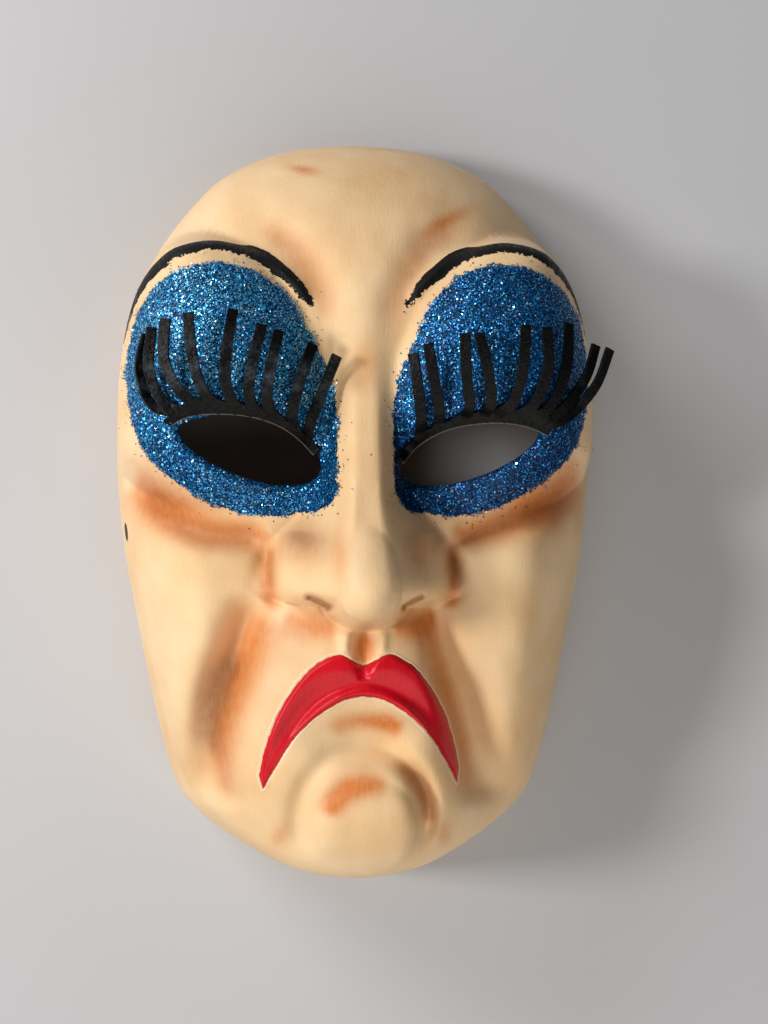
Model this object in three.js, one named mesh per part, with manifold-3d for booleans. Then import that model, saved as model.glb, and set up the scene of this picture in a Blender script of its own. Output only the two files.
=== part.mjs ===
// A hollow papier-mache stage mask with two leather lash fringes.
// Millimetres. The mask lies on its rim with the face up: +X to the right of
// whoever looks at it, +Y to the forehead, +Z out of the face, rim at z = 0.
import * as THREE from 'three';
import { mergeVertices } from 'three/addons/utils/BufferGeometryUtils.js';
import Module from 'manifold-3d';

const wasm = await Module();
wasm.setup();

// Driving dimensions
const WALL = 3; // thickness of the papier-mache
const DOME = 71; // height of the plain dome under the features
const EYE_ROLL = 3; // radius of the edge round each eye opening
const BRIDGE_HALF = 4.2; // half width of the flat ridge of the nose
const LASH_THICK = 1; // thickness of the leather
const LASH_WIDTH = 3.3; // width of one lash
const LASH_RISE = 7.3; // how far the tips stand off the face
const BAND_WIDTH = 2.6; // width of the strip the lashes are cut from
const BAND_SLOPE = 0.42; // how steeply the strip leans back over the opening
const LEATHER_LIFT = 0.9; // middle of the leather over the face
const GAP = 0.35; // clear space between leather and shell

// How finely the surfaces are faceted
const OUTER_POINTS = 2500;
const INNER_POINTS = 620;
const RIM_POINTS = 112;

// Half outlines on the +X side (x, y): the rim from the crown to the chin, the eye opening,
// the upper and the lower edge of the lips, the line between them, and the brow
const RIM = [[0, 122.1], [24, 119.4], [43, 111.4], [54.5, 100.6], [65, 86.5], [73, 70], [77.4, 50],
  [79, 28], [78.6, 6], [76.4, -14], [72.8, -34], [68.8, -54], [64.4, -74], [59.8, -89.5], [54.6, -98],
  [46, -105.4], [34, -113], [19, -119.7], [0, -122.1]];
const EYE = [[11.6, 13.6], [14.5, 19.4], [22, 24.4], [31.5, 27], [40, 27.2], [48, 25.8], [53, 23.4],
  [51.3, 18.9], [45.5, 14.2], [36.5, 9.8], [26.5, 7], [17.5, 6.8], [12.6, 9.4]];
const LIP_TOP = [[0, -46], [2.6, -44.6], [6.4, -42.5], [10.2, -43.2], [15.8, -47], [21.2, -54],
  [25.2, -61.5], [28, -70], [29.6, -77.5], [28.8, -82]];
const LIP_BOTTOM = [[26.2, -77], [21.5, -69], [17, -63.4], [11, -58.3], [5, -55.2], [0, -54.3]];
const LIP_LINE = [[28.2, -80], [24.6, -72.2], [20.2, -64.2], [15.2, -57.8], [10.2, -53.9], [5, -51.5],
  [0, -50.6]];
const BROW = [[14.6, 60.8], [18.7, 66.2], [23.5, 70.6], [30, 75.6], [37.5, 78.1], [45, 78.8], [53, 77],
  [59.4, 73.8], [64.6, 69.6], [69.2, 63.2], [73.5, 53]];

// The ridge of the nose from under its tip to the forehead (y, z)
const RIDGE = [[-60, -60], [-34, 50], [-31, 70], [-28.4, 89], [-26, 98], [-22, 101], [-14, 98], [-4, 93],
  [6, 87.4], [18, 81], [32, 74.6], [46, 70.5], [60, 67], [78, 45], [130, -60]];
// Where the features stand off the middle towards +X, by hand (y, x)
const LEAN = [[-130, 2.6], [-98, 2.6], [-88, 2.5], [-75, 1.7], [-62, 1], [-50, 0.8], [-40, 0.9],
  [-33, 1.5], [-24, 2.1], [-14, 1.7], [0, 1.5], [28, 1.4], [60, 0], [130, 0]];

// The strip that the lashes are cut from follows the upper edge of each opening (x, y)
const BANDS = {
  left: [[-55.6, 23.2], [-52.5, 25.2], [-48.5, 26.5], [-43, 27], [-35, 26.7], [-28, 25.3],
    [-22.1, 22.8], [-17.2, 19.2], [-13.6, 15.5]],
  right: [[12.9, 13.2], [17.2, 18.2], [23.4, 22], [30.6, 24], [37.8, 24.7], [44.3, 24.4], [50, 23.2],
    [54.6, 21.2]],
};
// Each lash: four points of its middle line from root to tip (x, y), and its turn about its own
// length in degrees
const LASHES = {
  left: [
    { line: [[-52, 25], [-60.4, 29.6], [-64, 41], [-61.6, 50]], turn: -58 },
    { line: [[-50, 26], [-55.6, 29], [-61, 39.6], [-60.1, 51.8]], turn: -16 },
    { line: [[-44.4, 27.2], [-50, 31.2], [-56.2, 41.4], [-56.1, 54.1]], turn: 2 },
    { line: [[-38.6, 27.2], [-44, 31.4], [-48.1, 42], [-49.4, 55.6]], turn: 6 },
    { line: [[-32.4, 26.6], [-37, 30.2], [-39, 40.3], [-36.7, 56.5]], turn: -4 },
    { line: [[-28, 25.6], [-32, 30.2], [-31.6, 39.8], [-28.5, 52.4]], turn: 5 },
    { line: [[-23.6, 23.6], [-27, 29.2], [-26.3, 39.4], [-23.7, 50.8]], turn: -3 },
    { line: [[-19, 21.3], [-20, 27], [-17.4, 38], [-13.9, 47.5]], turn: 4 },
    { line: [[-15.6, 18.6], [-14.8, 24.6], [-10.4, 35.7], [-7, 44.2]], turn: 6 },
  ],
  right: [
    { line: [[18.8, 19], [17.8, 25], [16.2, 37.4], [15, 44.9]], turn: 2 },
    { line: [[23.8, 22.4], [22.8, 28], [20.4, 40.7], [19.2, 47.5]], turn: -3 },
    { line: [[29, 23.8], [31.2, 28], [30.2, 38.2], [29.5, 50.1]], turn: 3 },
    { line: [[34, 24.6], [37.2, 29], [36.5, 38.1], [33.5, 50]], turn: -2 },
    { line: [[38.6, 25], [43.4, 29.8], [46.3, 39.3], [47, 52.4]], turn: 2 },
    { line: [[43.2, 25], [49.4, 29.2], [53.8, 40.1], [53.3, 52.1]], turn: 4 },
    { line: [[47.6, 24.6], [54.2, 28.8], [59.6, 40.4], [60.6, 53.9]], turn: 2 },
    { line: [[51, 23.8], [58.2, 28.2], [65.9, 37.9], [69.1, 47.9]], turn: -4 },
    { line: [[52.4, 22.6], [60.4, 26.4], [68.8, 35.5], [73.2, 46.7]], turn: -8 },
  ],
};

// Small functions for numbers and curves
const clamp = (t, low = 0, high = 1) => Math.min(high, Math.max(low, t));
const lerp = (a, b, t) => a + (b - a) * t;

function ramp(t) {
  const u = clamp(t);
  return u * u * (3 - 2 * u);
}

const step = (t, a, b) => ramp((t - a) / (b - a));

function softMax(a, b, k) {
  const h = clamp(0.5 + 0.5 * (a - b) / k);
  return lerp(b, a, h) + k * h * (1 - h);
}

function bell(x, y, cx, cy, rx, ry, power = 1) {
  return Math.exp(-((((x - cx) / rx) ** 2 + ((y - cy) / ry) ** 2) ** power));
}

// Value at x on a line through points, level past its ends
function interpolate(x, points) {
  const i = points.findIndex((p) => p[0] > x);
  if (i === 0) return points[0][1];
  if (i < 0) return points[points.length - 1][1];
  const [ax, ay] = points[i - 1];
  const [bx, by] = points[i];
  return lerp(ay, by, (x - ax) / (bx - ax));
}

// A smooth curve through points, with the same number of steps to each span
function smooth(points, steps, closed = false) {
  const count = points.length;
  const out = [];
  for (let i = 0; i < (closed ? count : count - 1); i++) {
    const b = points[i];
    const c = points[(i + 1) % count];
    const a = closed || i > 0 ? points[(i + count - 1) % count] : b.map((v, k) => 2 * v - c[k]);
    const d = closed || i + 2 < count ? points[(i + 2) % count] : c.map((v, k) => 2 * v - b[k]);
    for (let j = 0; j < steps; j++) {
      const t = j / steps;
      out.push(b.map((v, k) => 0.5 * (2 * v + (c[k] - a[k]) * t
        + (2 * a[k] - 5 * v + 4 * c[k] - d[k]) * t ** 2
        + (3 * v - a[k] - 3 * c[k] + d[k]) * t ** 3)));
    }
  }
  if (!closed) out.push(points[count - 1]);
  return out;
}

// A path that starts at one side and crosses the middle, from its half
const mirrored = (half) => [...half, ...half.slice(0, -1).reverse().map(([x, y]) => [-x, y])];

// Length passed at each point of a path
function runOf(points) {
  const run = [0];
  for (let i = 1; i < points.length; i++) {
    run.push(run[i - 1] + Math.hypot(points[i][0] - points[i - 1][0], points[i][1] - points[i - 1][1]));
  }
  return run;
}

// The place on a path after that length
function placeOn(points, run, length) {
  return [0, 1].map((k) => interpolate(length, run.map((r, i) => [r, points[i][k]])));
}

// A number, or numbers spread evenly along a path, at a share of its length
function along(values, share) {
  if (!Array.isArray(values)) return values;
  return interpolate(share, values.map((v, i) => [i / (values.length - 1), v]));
}

// A soft ridge along a path, or a groove where height is negative, on both halves of the face.
// left is its width on the left of the path, where that differs
function stroke({ path, width, height, left = width, ends = 0.12, both = true, power = 2 }) {
  const points = smooth(path, 8);
  const run = runOf(points);
  const total = run[run.length - 1];
  const reach = 3 * Math.max(...[width, left].flat());
  const xs = points.map((p) => p[0]);
  const ys = points.map((p) => p[1]);
  const low = [Math.min(...xs) - reach, Math.min(...ys) - reach];
  const high = [Math.max(...xs) + reach, Math.max(...ys) + reach];
  const half = (x, y) => {
    if (x < low[0] || x > high[0] || y < low[1] || y > high[1]) return 0;
    let best = Infinity;
    let share = 0;
    let side = 1;
    for (let i = 0; i < points.length - 1; i++) {
      const [ex, ey] = [points[i + 1][0] - points[i][0], points[i + 1][1] - points[i][1]];
      const [dx, dy] = [x - points[i][0], y - points[i][1]];
      const t = clamp((dx * ex + dy * ey) / (ex * ex + ey * ey));
      const distance = Math.hypot(dx - t * ex, dy - t * ey);
      if (distance < best) {
        best = distance;
        share = lerp(run[i], run[i + 1], t) / total;
        side = ex * dy - ey * dx;
      }
    }
    const w = along(side >= 0 ? left : width, share);
    const fade = ends ? ramp(share / ends) * ramp((1 - share) / ends) : 1;
    return along(height, share) * Math.exp(-((best / w) ** power)) * fade;
  };
  return (x, y) => half(x, y) + (both ? half(-x, y) : 0);
}

// Signed distance to a closed outline, negative inside
function outlineDistance(outline) {
  return (x, y) => {
    let best = Infinity;
    let inside = false;
    outline.forEach(([ax, ay], i) => {
      const [bx, by] = outline[(i + 1) % outline.length];
      const [ex, ey] = [bx - ax, by - ay];
      const t = clamp(((x - ax) * ex + (y - ay) * ey) / (ex * ex + ey * ey));
      best = Math.min(best, Math.hypot(x - ax - ex * t, y - ay - ey * t));
      if ((ay > y) !== (by > y) && x < ax + (y - ay) / (by - ay) * ex) inside = !inside;
    });
    return inside ? -best : best;
  };
}

// The rim
const rimLoop = smooth([...RIM, ...RIM.slice(1, -1).reverse().map(([x, y]) => [-x, y])], 24, true);
const rimPolar = rimLoop.map(([x, y]) => [Math.atan2(y, x), Math.hypot(x, y)]).sort((p, q) => p[0] - q[0]);
// The first and last points again, one turn further, so that every angle lies between two points
const [firstPolar, lastPolar] = [rimPolar[0], rimPolar[rimPolar.length - 1]];
rimPolar.unshift([lastPolar[0] - 2 * Math.PI, lastPolar[1]]);
rimPolar.push([firstPolar[0] + 2 * Math.PI, firstPolar[1]]);

function rimRadius(angle) {
  let low = 0;
  let high = rimPolar.length - 1;
  while (high - low > 1) {
    const middle = (low + high) >> 1;
    if (rimPolar[middle][0] <= angle) low = middle;
    else high = middle;
  }
  const share = (angle - rimPolar[low][0]) / (rimPolar[high][0] - rimPolar[low][0]);
  return lerp(rimPolar[low][1], rimPolar[high][1], share);
}

// The features that are drawn on the face
const browValley = stroke({
  path: [[8, 48], [9.5, 58], [14, 69], [22, 79.5], [33, 87], [46, 90]],
  width: [5.4, 5.8, 6.2, 7, 8, 9], height: [-1, -2, -2.6, -2.2, -1.5, -0.5], ends: 0.3,
});
const underEye = stroke({
  path: [[74, 17], [68.5, 10], [61, 3.4], [52, -1.8], [42, -6.3], [32, -9.2], [26, -10.2]],
  width: [7, 7.4, 7.2, 6.6, 5.8, 4.8, 4.2], left: [6, 6, 5.4, 4.6, 4, 3.6, 3.4],
  height: [-2, -4, -5.4, -6, -6, -5.6, -4],
});
const cheekFold = stroke({
  path: [[24, -25], [27.9, -34], [31, -46], [35.8, -58], [39, -70], [39.6, -81], [38, -92]],
  width: [4, 5, 5.6, 6, 6.2, 6.2, 6], left: [5, 6, 7, 8, 8.6, 8.4, 8],
  height: [3, 7, 10.5, 12.5, 12.5, 9.5, 3.5], ends: 0.1,
});
const nostril = stroke({
  path: [[18, -25.2], [14, -26.6], [9.8, -29.8]], width: [0.9, 1.1, 1.3], height: [-3, -5, -5], ends: 0.2,
});
const wingCrease = stroke({
  path: [[25.6, -7], [27.4, -13], [27.2, -22], [23.5, -30]],
  width: [3, 3.3, 3.2, 2.8], height: [-2, -4.2, -4.2, -2], ends: 0.2,
});
const lipLine = stroke({
  path: mirrored(LIP_LINE), width: 3.4, left: 1.3, height: [-0.4, -1.8, -2.2, -1.8, -0.4],
  ends: 0.04, both: false,
});
const lipCleft = stroke({
  path: [[0, -46], [0, -50]], width: [2, 1.5], height: -1.2, ends: 0.2, both: false,
});
const philtrum = stroke({
  path: [[0, -37], [0, -41], [0, -44.2]], width: [3.2, 3.4, 2.6], height: -3.2,
  ends: 0, both: false, power: 3,
});
const philtrumRims = stroke({
  path: [[5.4, -35], [5.5, -39], [5.2, -43]], width: 1.7, height: 1.1, ends: 0.3,
});
const browRidge = stroke({ path: BROW, width: 2.1, height: [1.2, 1.6, 1.6, 1.5, 1.2], ends: 0.05 });
const lipHalf = [...smooth(LIP_TOP, 6), ...smooth(LIP_BOTTOM, 6)];
const lipEdge = outlineDistance([...lipHalf, ...lipHalf.slice(1, -1).reverse().map(([x, y]) => [-x, y])]);
const eyeEdge = outlineDistance(smooth(EYE, 6, true));
const ridgeLine = smooth(RIDGE, 8);
const leanLine = smooth(LEAN, 8);

// The hand-made features stand a little off the middle, and the folds beside the mouth lean the
// other way: x as each takes it. The groove under the left eye hangs lower: y as both take it
const leanX = (x, y) => x - interpolate(y, leanLine) * Math.exp(-((x / 20) ** 2));
const foldX = (x, y) => x + 6.4 * bell(Math.abs(x), y, 35, -48, 20, 44, 2);
const underEyeY = (x, y) => y + 3.6 * bell(x, y, -56, 0, 20, 18, 2);

// A ridge with flat sides that spread towards two blocky wings, and a round tip
function nose(fx, y) {
  const ax = Math.abs(fx);
  const slope = (1.9 - 0.72 * step(-y, -8, 12)) * (1 - 0.5 * step(y, 16, 48));
  const half = BRIDGE_HALF + 1.8 * step(-y, -6, 18);
  const flank = softMax(0, slope * (ax - half), 2.4) + 2 * Math.max(0, ax - 40);
  const ridge = interpolate(y, ridgeLine) - flank;
  const above = y + 23.6;
  const q = Math.hypot(fx / 9.2, above / (8.6 + 9.4 * step(above, -1, 6)));
  const ball = 94.6 + 9.3 * Math.sqrt(Math.max(0, 1 - q * q)) - 0.3 * Math.max(0, above);
  const tip = ball - (24 + 10 * step(-above, 0, 6)) * Math.max(0, q - 1);
  const box = Math.abs((ax - 15.6) / 9.7) ** 3.4 + Math.abs((y + 17) / 10.6) ** 3.2;
  const tilt = (16 - ax) * (0.5 - 0.1 * step(-y, 17, 25));
  const wing = 72 + 13.5 * Math.max(0, 1 - box) ** 0.42 + tilt - 26 * Math.max(0, box - 1);
  return softMax(softMax(ridge, tip, 2.2 + 3.5 * step(above, -3, 5)), wing, 2.2);
}

function dome(x, y, rho, up, down) {
  const low = step(down - up, -0.55, 0.15);
  const z = DOME * Math.sqrt(Math.max(0, 1 - rho ** (2.5 + 1.1 * up + 2 * low)));
  return z + 5 * bell(x, y, 0, 72, 40, 30, 1.1) * (1 - step(rho, 0.74, 0.97));
}

// The raised ground round each eye
function eyeMound(ax, y) {
  const turn = THREE.MathUtils.degToRad(-13);
  const c = Math.cos(turn);
  const s = Math.sin(turn);
  const q = Math.hypot(((ax - 41.5) * c + (y - 38) * s) / 37.5, ((y - 38) * c - (ax - 41.5) * s) / 46);
  return 80.5 - 12.5 * q ** 2 - 15 * q ** 8;
}

// A hollow under the lip, and a ball in its socket
function chin(z, fx, y, fade) {
  const q = Math.hypot(fx / 16.2, (y + 91) / 17.4);
  const lift = clamp((y + 91) / 17.4 / Math.max(q, 0.01), -1, 1);
  const depth = (2.6 + 3.2 * (1 - lift ** 2)) * step(lift, -0.75, -0.1) * (0.62 + 0.4 * step(fx, -9, 9));
  const socket = depth * Math.exp(-(((q - 1.2) / 0.19) ** 2));
  const hollow = z - (6 * bell(fx, y, 0, -67.5, 15, 7, 1.2) + socket) * fade;
  const ball = 84.6 - 4.4 * q ** 2 - 7 * q ** 8;
  return lerp(hollow, softMax(hollow, ball, 0.7 + 9 * step(-y, 92, 108)), fade);
}

function lips(fx, y) {
  const lip = lipEdge(fx, y);
  const middle = bell(fx, y, 0, -48, 9, 7);
  const edge = 0.9 * ramp(-lip / 1.1) - 0.8 * (1 - middle) * ramp(-lip / 6.5) + middle * ramp(-lip / 5);
  return edge + lipLine(fx, y) + lipCleft(fx, y) + philtrum(fx, y) + philtrumRims(fx, y);
}

// Height of the face over the plane of the rim
function height(x, y) {
  const angle = Math.atan2(y, x);
  const rho = Math.min(1, Math.hypot(x, y) / rimRadius(angle));
  const up = Math.max(0, Math.sin(angle));
  const down = Math.max(0, -Math.sin(angle));
  const fade = 1 - step(rho, 0.88, 1);
  const fx = leanX(x, y);
  const mx = foldX(x, y);
  let z = dome(x, y, rho, up, down) - 2.6 * bell(Math.abs(fx), y, 14, 36, 12, 26) * fade;
  z = lerp(z, softMax(z, eyeMound(Math.abs(x), y), 3), fade) + browValley(fx, y) * fade;
  z += (3 * bell(Math.abs(fx), y, 54, -20, 17, 15) + 6.5 * bell(Math.abs(fx), y, 50, -48, 14, 38)) * fade;
  z += underEye(fx, underEyeY(x, y)) * fade;
  const muzzle = 83 - 20 * Math.hypot(mx / 43, (y + 62) / 52) ** 2.8;
  z = lerp(z, softMax(z, muzzle, 4), fade) - cheekFold(mx, y) * (1 - 0.22 * step(fx, -6, 6)) * fade;
  z = chin(z, fx, y, fade);
  // Everything rounds over towards the rim
  const cap = 86 * Math.sqrt(Math.max(0, 1 - rho ** (6 + 2.5 * down ** 2)));
  z = -softMax(-z, -cap, 5);
  z = softMax(z, nose(fx, y), 1.7 + 6 * step(y, 8, 44));
  z += nostril(fx, y) + wingCrease(fx, y) + lips(fx, y) + browRidge(fx, y) * fade;
  // The edge of the eye opening is rolled inwards
  const roll = clamp(1 - eyeEdge(Math.abs(x), y) / EYE_ROLL);
  z -= EYE_ROLL * (1 - Math.sqrt(1 - roll ** 2));
  return Math.max(0, z);
}

function normalAt(x, y, reach = 0.4) {
  const dx = height(x - reach, y) - height(x + reach, y);
  const dy = height(x, y - reach) - height(x, y + reach);
  return new THREE.Vector3(dx, dy, 2 * reach).normalize();
}

// The inside of the wall, on a grid of 1 mm: a ball of the wall's radius is rolled under the face
const GRID = { x: -84, y: -128, columns: 169, rows: 257 };
const cell = (grid, i, j) => grid[clamp(j, 0, GRID.rows - 1) * GRID.columns + clamp(i, 0, GRID.columns - 1)];

function makeGrid(valueAt) {
  const grid = new Float64Array(GRID.columns * GRID.rows);
  for (let j = 0; j < GRID.rows; j++) {
    for (let i = 0; i < GRID.columns; i++) grid[j * GRID.columns + i] = valueAt(i, j);
  }
  return grid;
}

const around = [];
for (let dy = -3; dy <= 3; dy++) {
  for (let dx = -3; dx <= 3; dx++) around.push({ dx, dy, far: dx * dx + dy * dy });
}
const onBall = around.filter(({ far }) => far <= WALL * WALL);

const OUTSIDE = -30;
const face = makeGrid((i, j) => {
  const [x, y] = [GRID.x + i, GRID.y + j];
  return Math.hypot(x, y) < rimRadius(Math.atan2(y, x)) ? height(x, y) : OUTSIDE;
});
const under = makeGrid((i, j) => Math.min(
  ...onBall.map(({ dx, dy, far }) => cell(face, i + dx, j + dy) - Math.sqrt(WALL * WALL - far)),
));
// The paper inside is softer than the face, so the inner surface is smoothed, only downwards
const soft = makeGrid((i, j) => {
  let sum = 0;
  let weight = 0;
  for (const { dx, dy, far } of around) {
    sum += Math.exp(-far / 6) * Math.max(0, cell(under, i + dx, j + dy));
    weight += Math.exp(-far / 6);
  }
  return Math.min(cell(under, i, j), sum / weight);
});

function insideHeight(x, y) {
  const gx = clamp(x - GRID.x, 0, GRID.columns - 1.001);
  const gy = clamp(y - GRID.y, 0, GRID.rows - 1.001);
  const i = Math.floor(gx);
  const j = Math.floor(gy);
  const low = lerp(cell(soft, i, j), cell(soft, i + 1, j), gx - i);
  const high = lerp(cell(soft, i, j + 1), cell(soft, i + 1, j + 1), gx - i);
  return Math.max(0, lerp(low, high, gy - j));
}

// One triangle of the facets, with the circle through its corners
function makeFacet(points, corners) {
  const [[ax, ay], [bx, by], [cx, cy]] = corners.map((i) => points[i]);
  const d = 2 * (ax * (by - cy) + bx * (cy - ay) + cx * (ay - by));
  const [a, b, c] = [ax * ax + ay * ay, bx * bx + by * by, cx * cx + cy * cy];
  const ux = (a * (by - cy) + b * (cy - ay) + c * (ay - by)) / d;
  const uy = (a * (cx - bx) + b * (ax - cx) + c * (bx - ax)) / d;
  return { corners, ux, uy, round: (ax - ux) ** 2 + (ay - uy) ** 2, spots: [], worst: null, error: 0 };
}

// Finds the spot that stands furthest off a facet
function rateFacet(points, facet) {
  const [[ax, ay, az], [bx, by, bz], [cx, cy, cz]] = facet.corners.map((i) => points[i]);
  const d = (by - cy) * (ax - cx) + (cx - bx) * (ay - cy);
  for (const spot of facet.spots) {
    const u = ((by - cy) * (spot.x - cx) + (cx - bx) * (spot.y - cy)) / d;
    const v = ((cy - ay) * (spot.x - cx) + (ax - cx) * (spot.y - cy)) / d;
    const error = Math.abs(u * az + v * bz + (1 - u - v) * cz - spot.z) * spot.weight;
    if (error > facet.error) {
      facet.error = error;
      facet.worst = spot;
    }
  }
}

function isWithin(points, facet, x, y) {
  return facet.corners.every((p, k) => {
    const q = facet.corners[(k + 1) % 3];
    const [px, py] = points[p];
    return (points[q][0] - px) * (y - py) - (points[q][1] - py) * (x - px) >= 0;
  });
}

// Delaunay facets over an outline: the spot that stands furthest off them goes in next
function facets(ring, heightAt, places, count) {
  const FAR = 1000;
  const inside = outlineDistance(ring);
  // Three far points hold the first facet, and are taken off at the end
  const points = [[-FAR, -FAR, 0], [FAR, -FAR, 0], [0, 1.5 * FAR, 0]];
  let open = [makeFacet(points, [0, 1, 2])];
  open[0].spots = places.filter(([x, y]) => inside(x, y) < -0.35).map(([x, y]) => {
    const dx = heightAt(x + 0.5, y) - heightAt(x - 0.5, y);
    const dy = heightAt(x, y + 0.5) - heightAt(x, y - 0.5);
    return { x, y, z: heightAt(x, y), weight: 1 / Math.hypot(1, dx, dy) };
  });
  const insert = (x, y, z) => {
    const index = points.push([x, y, z]) - 1;
    const gone = open.filter((f) => (x - f.ux) ** 2 + (y - f.uy) ** 2 < f.round * (1 - 1e-12));
    open = open.filter((f) => !gone.includes(f));
    const edges = new Map();
    for (const { corners } of gone) {
      corners.forEach((p, k) => {
        const q = corners[(k + 1) % 3];
        if (!edges.delete(`${q} ${p}`)) edges.set(`${p} ${q}`, [p, q]);
      });
    }
    const fresh = [...edges.values()].map(([p, q]) => makeFacet(points, [p, q, index]));
    for (const spot of gone.flatMap((f) => f.spots)) {
      const home = fresh.find((f) => isWithin(points, f, spot.x, spot.y));
      if (home && (spot.x !== x || spot.y !== y)) home.spots.push(spot);
    }
    fresh.filter((f) => Math.min(...f.corners) > 2).forEach((f) => rateFacet(points, f));
    open.push(...fresh);
  };
  ring.forEach(([x, y]) => insert(x, y, 0));
  while (points.length < count) {
    const { worst } = open.reduce((a, b) => (b.error > a.error ? b : a));
    if (!worst) break;
    insert(worst.x, worst.y, worst.z);
  }
  const kept = open.filter(({ corners }) => {
    const middle = [0, 1].map((k) => corners.reduce((sum, i) => sum + points[i][k], 0) / 3);
    return Math.min(...corners) > 2 && inside(...middle) < 0;
  });
  return { points: points.slice(3), triangles: kept.map(({ corners }) => corners.map((i) => i - 3)) };
}

// Places spread over an outline, from a square of them, closer together towards the rim
function spread(count, radius) {
  const out = [];
  for (let j = 1; j < count; j++) {
    for (let i = 1; i < count; i++) {
      const [u, v] = [2 * i / count - 1, 2 * j / count - 1];
      const wide = Math.abs(u) >= Math.abs(v);
      const turned = wide ? Math.PI / 4 * v / (u || 1) : Math.PI / 2 - Math.PI / 4 * u / v;
      const opposite = (wide && u < 0) || (!wide && v < 0);
      const angle = turned + (opposite ? Math.PI : 0);
      const size = Math.sin(Math.max(Math.abs(u), Math.abs(v)) * Math.PI / 2);
      const reach = size * radius(Math.atan2(Math.sin(angle), Math.cos(angle)));
      // A tiny unevenness, because four places on one circle have no single Delaunay answer
      const shake = [1e-4 * Math.sin(7.1 * i + j), 1e-4 * Math.cos(5.3 * j + i)];
      out.push([reach * Math.cos(angle) + shake[0], reach * Math.sin(angle) + shake[1]]);
    }
  }
  return out;
}

// Solids
function toSolid(geometry) {
  const bare = geometry.clone();
  bare.deleteAttribute('normal');
  bare.deleteAttribute('uv');
  const merged = mergeVertices(bare, 1e-5);
  return new wasm.Manifold(new wasm.Mesh({
    numProp: 3,
    vertProperties: new Float32Array(merged.attributes.position.array),
    triVerts: new Uint32Array(merged.index.array),
  }));
}

function solid(vertices, triangles) {
  const geometry = new THREE.BufferGeometry();
  geometry.setAttribute('position', new THREE.Float32BufferAttribute(vertices.flat(), 3));
  geometry.setIndex(triangles.flat());
  return toSolid(geometry);
}

function toGeometry(manifold) {
  const mesh = manifold.getMesh();
  const geometry = new THREE.BufferGeometry();
  geometry.setAttribute('position', new THREE.BufferAttribute(new Float32Array(mesh.vertProperties), 3));
  geometry.setIndex(new THREE.BufferAttribute(new Uint32Array(mesh.triVerts), 1));
  geometry.computeVertexNormals();
  return geometry;
}

// The outer ring goes evenly along the rim, and the inner ring lies one wall inside it
const rimClosed = [...rimLoop, rimLoop[0]].reverse();
const rimRun = runOf(rimClosed);
const outerRing = Array.from({ length: RIM_POINTS }, (_, i) => (
  placeOn(rimClosed, rimRun, rimRun[rimRun.length - 1] * i / RIM_POINTS)
));
const innerRing = outerRing.map(([x, y], i) => {
  const a = outerRing[(i + RIM_POINTS - 1) % RIM_POINTS];
  const b = outerRing[(i + 1) % RIM_POINTS];
  const size = Math.hypot(b[0] - a[0], b[1] - a[1]);
  return [x - WALL * (b[1] - a[1]) / size, y + WALL * (b[0] - a[0]) / size];
});
const outer = facets(outerRing, height, spread(150, (angle) => rimRadius(angle) * 0.9995), OUTER_POINTS);
const inner = facets(innerRing, insideHeight, spread(90, (angle) => rimRadius(angle) - WALL), INNER_POINTS);

// The quads between two rings whose points have the same numbers
function wallBetween(first, second) {
  const triangles = [];
  for (let i = 0; i < RIM_POINTS; i++) {
    const j = (i + 1) % RIM_POINTS;
    triangles.push([first + i, second + j, first + j], [first + i, second + i, second + j]);
  }
  return triangles;
}

function shellSolid() {
  const base = outer.points.length;
  const ceiling = inner.triangles.map(([a, b, c]) => [base + a, base + c, base + b]);
  let shell = solid([...outer.points, ...inner.points],
    [...outer.triangles, ...ceiling, ...wallBetween(0, base)]);
  for (const side of [1, -1]) {
    const outline = new THREE.Shape(smooth(EYE, 3, true).map(([x, y]) => new THREE.Vector2(side * x, y)));
    const cutter = new THREE.ExtrudeGeometry(outline, { depth: 140, bevelEnabled: false });
    cutter.translate(0, 0, -10);
    shell = shell.subtract(toSolid(cutter));
  }
  return shell;
}

// The face filled down past the rim and grown by the gap, to keep the leather off it
function keepOff() {
  const FLOOR = -2;
  const top = outer.points.map(([x, y, z]) => (
    new THREE.Vector3(x, y, z).addScaledVector(normalAt(x, y), GAP).toArray()));
  const bottom = outer.points.map(([x, y], i) => (
    i < RIM_POINTS ? [top[i][0], top[i][1], FLOOR] : [x, y, FLOOR]));
  const floor = outer.triangles.map(([a, b, c]) => [top.length + a, top.length + c, top.length + b]);
  return solid([...top, ...bottom], [...outer.triangles, ...floor, ...wallBetween(0, top.length)]);
}

// A closed bar from rings of points
function loft(rings) {
  const size = rings[0].length;
  const vertices = rings.flat();
  const triangles = [];
  for (let i = 0; i < rings.length - 1; i++) {
    for (let k = 0; k < size; k++) {
      const a = i * size + k;
      const b = i * size + (k + 1) % size;
      triangles.push([a, b, b + size], [a, b + size, a + size]);
    }
  }
  const last = (rings.length - 1) * size;
  for (let k = 1; k < size - 1; k++) {
    triangles.push([0, k + 1, k], [last, last + k, last + k + 1]);
  }
  // The rings may run either way round: the faces are turned to point out
  const corner = (i) => new THREE.Vector3(...vertices[i]);
  const volume = triangles.reduce((sum, [a, b, c]) => sum + corner(a).dot(corner(b).cross(corner(c))), 0);
  return solid(vertices, volume > 0 ? triangles : triangles.map(([a, b, c]) => [a, c, b]));
}

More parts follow.
